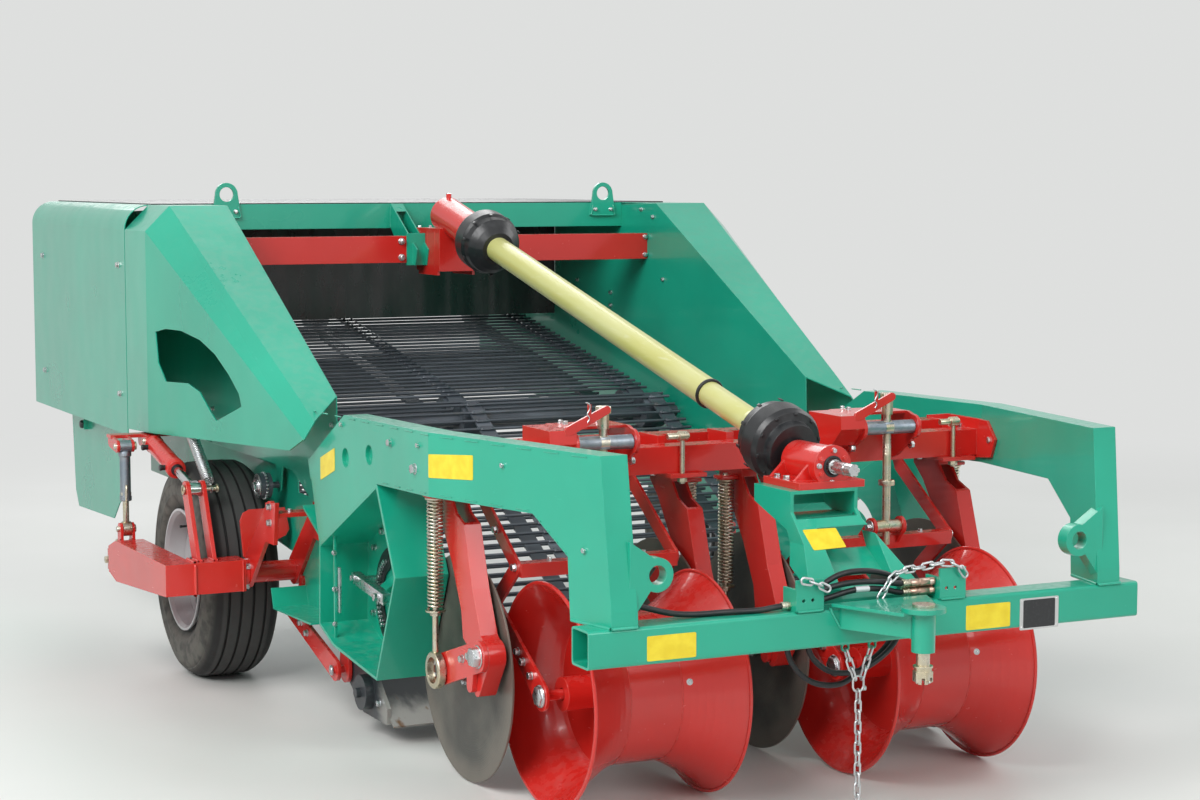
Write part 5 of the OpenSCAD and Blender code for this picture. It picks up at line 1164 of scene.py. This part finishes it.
# Lift cylinders: red barrels with a welded gland and port bosses closed by plastic caps,
# ground and chromed rods, and eyes at both ends
chrome = Finish("chrome_rod", (0.66, 0.66, 0.67), Metallic=1.0)
film_oil = chrome.patches(60, 3, (1, 0.2, 1))
chrome.feed(Base_Color=chrome.blend(film_oil.between(0.5, 0.8), (0.66, 0.66, 0.67), (0.50, 0.48, 0.44)),
            Roughness=0.10 + 0.18 * film_oil, Normal=chrome.relief(film_oil, 0.0001))
dress(chrome, "rod_left", "rod_right")
for side, name in flanks:
    start, end = at(side * cylinder_x, *clevis_pin), at(side * cylinder_x, *lever_pin)
    line = (end - start).normalized()
    barrel = aimed(start, line)
    collars = bmesh.new()
    stamp(collars, turned([(296, 30), (296, 33), (298, 34.6), (322, 34.6), (326, 33), (330, 30), (331, 22),
                           (331, 16)], 40), barrel)
    stamp(collars, turned([(40, 26), (40, 33.4), (46, 34.2), (50, 32)], 40), barrel)
    piece(f"barrel_{name}_collars", collars, red_enamel, "barrel_" + name)
    ports = bmesh.new()
    for reach in (0.070, 0.300):
        stamp(ports, turned([(30, 9.3), (44, 9.3), (46.4, 10.6), (52, 10.6), (54, 9), (54, 0)]),
              aimed(start + line * reach, (side, 0, 0)))
    piece(f"barrel_{name}_ports", ports, black_moulding, "barrel_" + name)
    wiper = bmesh.new()
    stamp(wiper, turned([(331, 15.2), (331, 21), (335, 20), (336, 15.2)], 32), barrel)
    piece(f"barrel_{name}_wiper", wiper, hose_cover, "barrel_" + name)

# Adjusting stays: plated tubes with a lock nut over a threaded rod, turned by a bent
# wire handle welded to the tube
dress(satin_zinc, "stay_sleeve_left", "stay_sleeve_right")
dress(yellow_zinc, "stay_rod_left", "stay_rod_right")
for side, name in flanks:
    start, end = at(side * stay_x, *stay_top), at(side * stay_x, *stay_foot)
    tube = aimed(start, (end - start).normalized())
    body = "stay_sleeve_" + name
    collars = bmesh.new()
    stamp(collars, turned([(20, 19.2), (20, 22), (24, 23), (34, 23), (38, 19.2)], 32), tube)
    stamp(collars, turned([(178, 19.2), (178, 21.5), (192, 21.5), (195, 19), (195, 12)], 32), tube)
    piece(f"stay_{name}_collars", collars, satin_zinc, body)
    nut = bmesh.new()
    stamp(nut, hexagon(36, 12, 164), tube)
    piece(f"stay_{name}_nut", nut, yellow_zinc, body)
    bends = ((1264, 2361, 620), (1268, 2352, 618), (1272, 2336, 640), (1272, 2330, 664), (1274, 2319, 667),
             (1276, 2312, 652), (1276, 2318, 600), (1276, 2326, 560), (1274, 2338, 535))
    wire(f"stay_{name}_handle", [(side * x, y, z) for x, y, z in bends], 0.0045, yellow_zinc, body)

# Relief springs of the arms: close coils of plated wire, hooked on a flat of the channel
# wall above and on the long pin of the crank below
spring_x = 1101
hook_wire = 0.0027
hook_length = 36
anchors = bmesh.new()
for side in (-1, 1):
    block(anchors, (side * 868, 2112, 884), (side * 1120, 2138, 892), 1.5)
    block(anchors, (side * 868, 2096, 868), (side * 878, 2154, 908), 2)
piece("spring_anchors", anchors, green_enamel, "frame")
for side, name in flanks:
    low, high = at(side * spring_x, *lever_pin), at(side * spring_x, 2125, 884)
    line = (high - low).normalized()
    spring = bmesh.new()
    stamp(spring, coil_of(0.0182, hook_wire, 0.232, 27, 12, 6), aimed(low + line * hook_length / 1000, line))
    for hook, way in ((low, line), (high, -line)):
        eye = bmesh.new()
        bmesh.ops.create_circle(eye, segments=6, radius=hook_wire, matrix=shifted(0.0135, 0, 0))
        bmesh.ops.spin(eye, geom=eye.verts[:] + eye.edges[:], cent=(0, 0, 0), axis=(0, 1, 0),
                       angle=math.radians(275), steps=16)
        bmesh.ops.holes_fill(eye, edges=[edge for edge in eye.edges if edge.is_boundary])
        place = aimed(hook, way)
        stamp(spring, form_of(eye), place @ about_z(90) @ Matrix.Rotation(math.radians(225), 4, "Y"))
        block(spring, (-2.7, -2.7, 12), (2.7, 2.7, hook_length + 2), 1.6, place)
    coiled = piece(f"relief_spring_{name}", spring, bright_zinc, None, 60)
    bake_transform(coiled)

# Tyres: ribbed implement tyres, five ribs round and a rounded shoulder, with moulding rings on the walls.
# The walls are pale grey, partly dust and partly painted sunlight, beside the black of the tread's grooves
wheel_x = 1000
wheel_centre = (2171, 379)
tread = Finish("tyre_tread", (0.022, 0.022, 0.021), Specular_IOR_Level=0.4)
off = abs(abs(tread.along("X")) - wheel_x / 1000)
radius = tread.reach_from(at(0, *wheel_centre), (0, 1, 1))
mottle = tread.patches(26, 5)
fine = tread.patches(500, 2)
wall = off.between(0.100, 0.128)
crest = radius.between(0.3715, 0.3765)
# Pale grey walls: dust patches and painted sunlight together
dust_and_sunlight = wall * (0.35 + 0.65 * mottle.between(0.3, 0.6))
rubber = tread.blend(dust_and_sunlight, (0.020, 0.020, 0.020), (0.135, 0.132, 0.115))
rubber = tread.blend(crest * 0.75, rubber, (0.062, 0.062, 0.060))
tread.feed(Base_Color=rubber, Roughness=0.55 + 0.3 * mottle,
           Normal=tread.relief(fine, 0.0004, tread.relief(mottle, 0.002)))
# Half of the section, from its middle over the shoulder and down the wall to the rim
half = [(12, 379), (16.5, 378.8), (18, 369.4), (25, 369.4), (26.5, 378.6), (58.5, 377.6), (60, 368.6),
        (67, 368.6), (68.5, 377), (80, 376), (92, 370), (97, 367), (104, 362), (110, 357), (117, 350),
        (116, 345), (122, 338), (127, 326), (130, 312), (131.8, 306), (131.8, 302), (130.6, 300), (131, 280),
        (130, 268), (131, 265), (130, 262), (127, 252), (121, 240), (113, 228), (112, 224), (106, 217),
        (105, 204)]
section = [(-height, radius) for height, radius in reversed(half)] + half + [(-105, 204)]
for side, name in flanks:
    shape = bmesh.new()
    stamp(shape, turned(section, 96), outward(side, side * wheel_x, *wheel_centre))
    tyre = piece(f"ribbed_tyre_{name}", shape, tread, "wheel_" + name, 30)
    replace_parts(tyre, "tyre_" + name)

# Rims: pressed steel in silver enamel, with plated wheel nuts, a cap on the hub and the
# rubber stem of the valve
silver = enamel("silver_enamel", (0.52, 0.52, 0.53), (0.66, 0.66, 0.66), 0.3, 0.0002)
dress(silver, "rim_left", "rim_right")
for side, name in flanks:
    body = "wheel_" + name
    axle = outward(side, side * wheel_x, *wheel_centre)
    nuts = bmesh.new()
    for k in range(6):
        stud = axle @ about_z(60 * k) @ shifted(0.082, 0, 0.026)
        stamp(nuts, turned([(0, 9), (0, 17), (3, 15), (6, 14), (6, 9)]), stud)
        stamp(nuts, hexagon(25.5, 23), stud)
    piece(f"wheel_{name}_nuts", nuts, bright_zinc, body)
    cap = bmesh.new()
    stamp(cap, turned([(-39, 56), (-44, 54), (-52, 40), (-54, 0)], 40), axle)
    piece(f"wheel_{name}_cap", cap, black_moulding, body)
    stem = bmesh.new()
    stamp(stem, turned([(0, 5), (0, 8), (6, 7), (10, 4.2), (34, 4.2), (34, 5), (42, 5), (43, 0)], 16),
          axle @ about_z(40) @ shifted(0.176, 0, 0.052))
    piece(f"wheel_{name}_valve", stem, black_moulding, body)

# Room: a pale grey hall floor that runs into the backdrop, and broad soft lamps at a
# plain level, the widest one high on the left as the daylight falls in the photograph
backdrop_colour = (0.86, 0.87, 0.86, 1)
backdrop_strength = 0.85


def seen_directly(recipe):
    """Above 0 where a ray comes from the camera, a mirroring surface or clear glass."""
    camera, glossy, clear = (recipe.node("ShaderNodeLightPath", {}, {}, f"Is {kind} Ray")
                             for kind in ("Camera", "Glossy", "Transmission"))
    return camera + glossy + clear


floor_paint = Finish("floor", (0.70, 0.705, 0.67), Roughness=0.55)
worn_floor = floor_paint.patches(0.8, 5)
grey = floor_paint.blend(worn_floor.between(0.3, 0.75), (0.70, 0.705, 0.67), (0.74, 0.74, 0.71))
floor_paint.feed(Base_Color=grey, Roughness=0.42 + 0.2 * worn_floor)
far = floor_paint.node("ShaderNodeVectorMath", {"operation": "LENGTH"}, {0: floor_paint.place}, "Value")
fade = (seen_directly(floor_paint) > 0.5) * far.between(3.8, 8.5)
glow = floor_paint.node("ShaderNodeEmission", {}, {"Color": backdrop_colour, "Strength": backdrop_strength})
paint = Level(floor_paint, floor_paint.shader.outputs[0])
floor_paint.join(floor_paint.node("ShaderNodeMixShader", {}, {0: fade, 1: paint, 2: glow}),
                 floor_paint.tree.nodes["Material Output"].inputs["Surface"])
ground = bmesh.new()
bmesh.ops.create_grid(ground, x_segments=2, y_segments=2, size=40)
floor_mesh = form_of(ground)
floor_mesh.materials.append(floor_paint.material)
floor = bpy.data.objects.new("hall_floor", floor_mesh)
bpy.context.collection.objects.link(floor)

world = bpy.data.worlds.new("daylight")
bpy.context.scene.world = world
world.use_nodes = True
daylight = Recipe(world.node_tree)
background = daylight.tree.nodes["Background"]
background.inputs["Color"].default_value = (0.80, 0.84, 0.90, 1)
background.inputs["Strength"].default_value = 0.42
backdrop = daylight.node("ShaderNodeBackground", {},
                         {"Color": backdrop_colour, "Strength": backdrop_strength})
sky = daylight.node("ShaderNodeMixShader", {}, {0: seen_directly(daylight) > 0.5,
                                                1: Level(daylight, background.outputs[0]), 2: backdrop})
daylight.join(sky, daylight.tree.nodes["World Output"].inputs["Surface"])
# Each lamp's name, place, aim, size and power
for name, place, aim, size, power in (("daylight_left", (-6.5, -4.0, 6.5), (0, 0, 0.6), 5.0, 730),
                                      ("daylight_front", (1.0, -8.5, 4.5), (0, -1, 0.6), 4.0, 190),
                                      ("daylight_right", (7.5, -1.0, 5.0), (0, 0, 0.8), 4.0, 190),
                                      ("daylight_back", (1.5, 8.5, 6.0), (0, 1, 0.8), 5.0, 300)):
    lamp = bpy.data.lights.new(name, "AREA")
    lamp.size = size
    lamp.energy = power
    holder = bpy.data.objects.new(name, lamp)
    bpy.context.collection.objects.link(holder)
    holder.location = place
    holder.rotation_euler = (Vector(aim) - Vector(place)).to_track_quat("-Z", "Y").to_euler()
bpy.context.scene.view_settings.view_transform = "Standard"
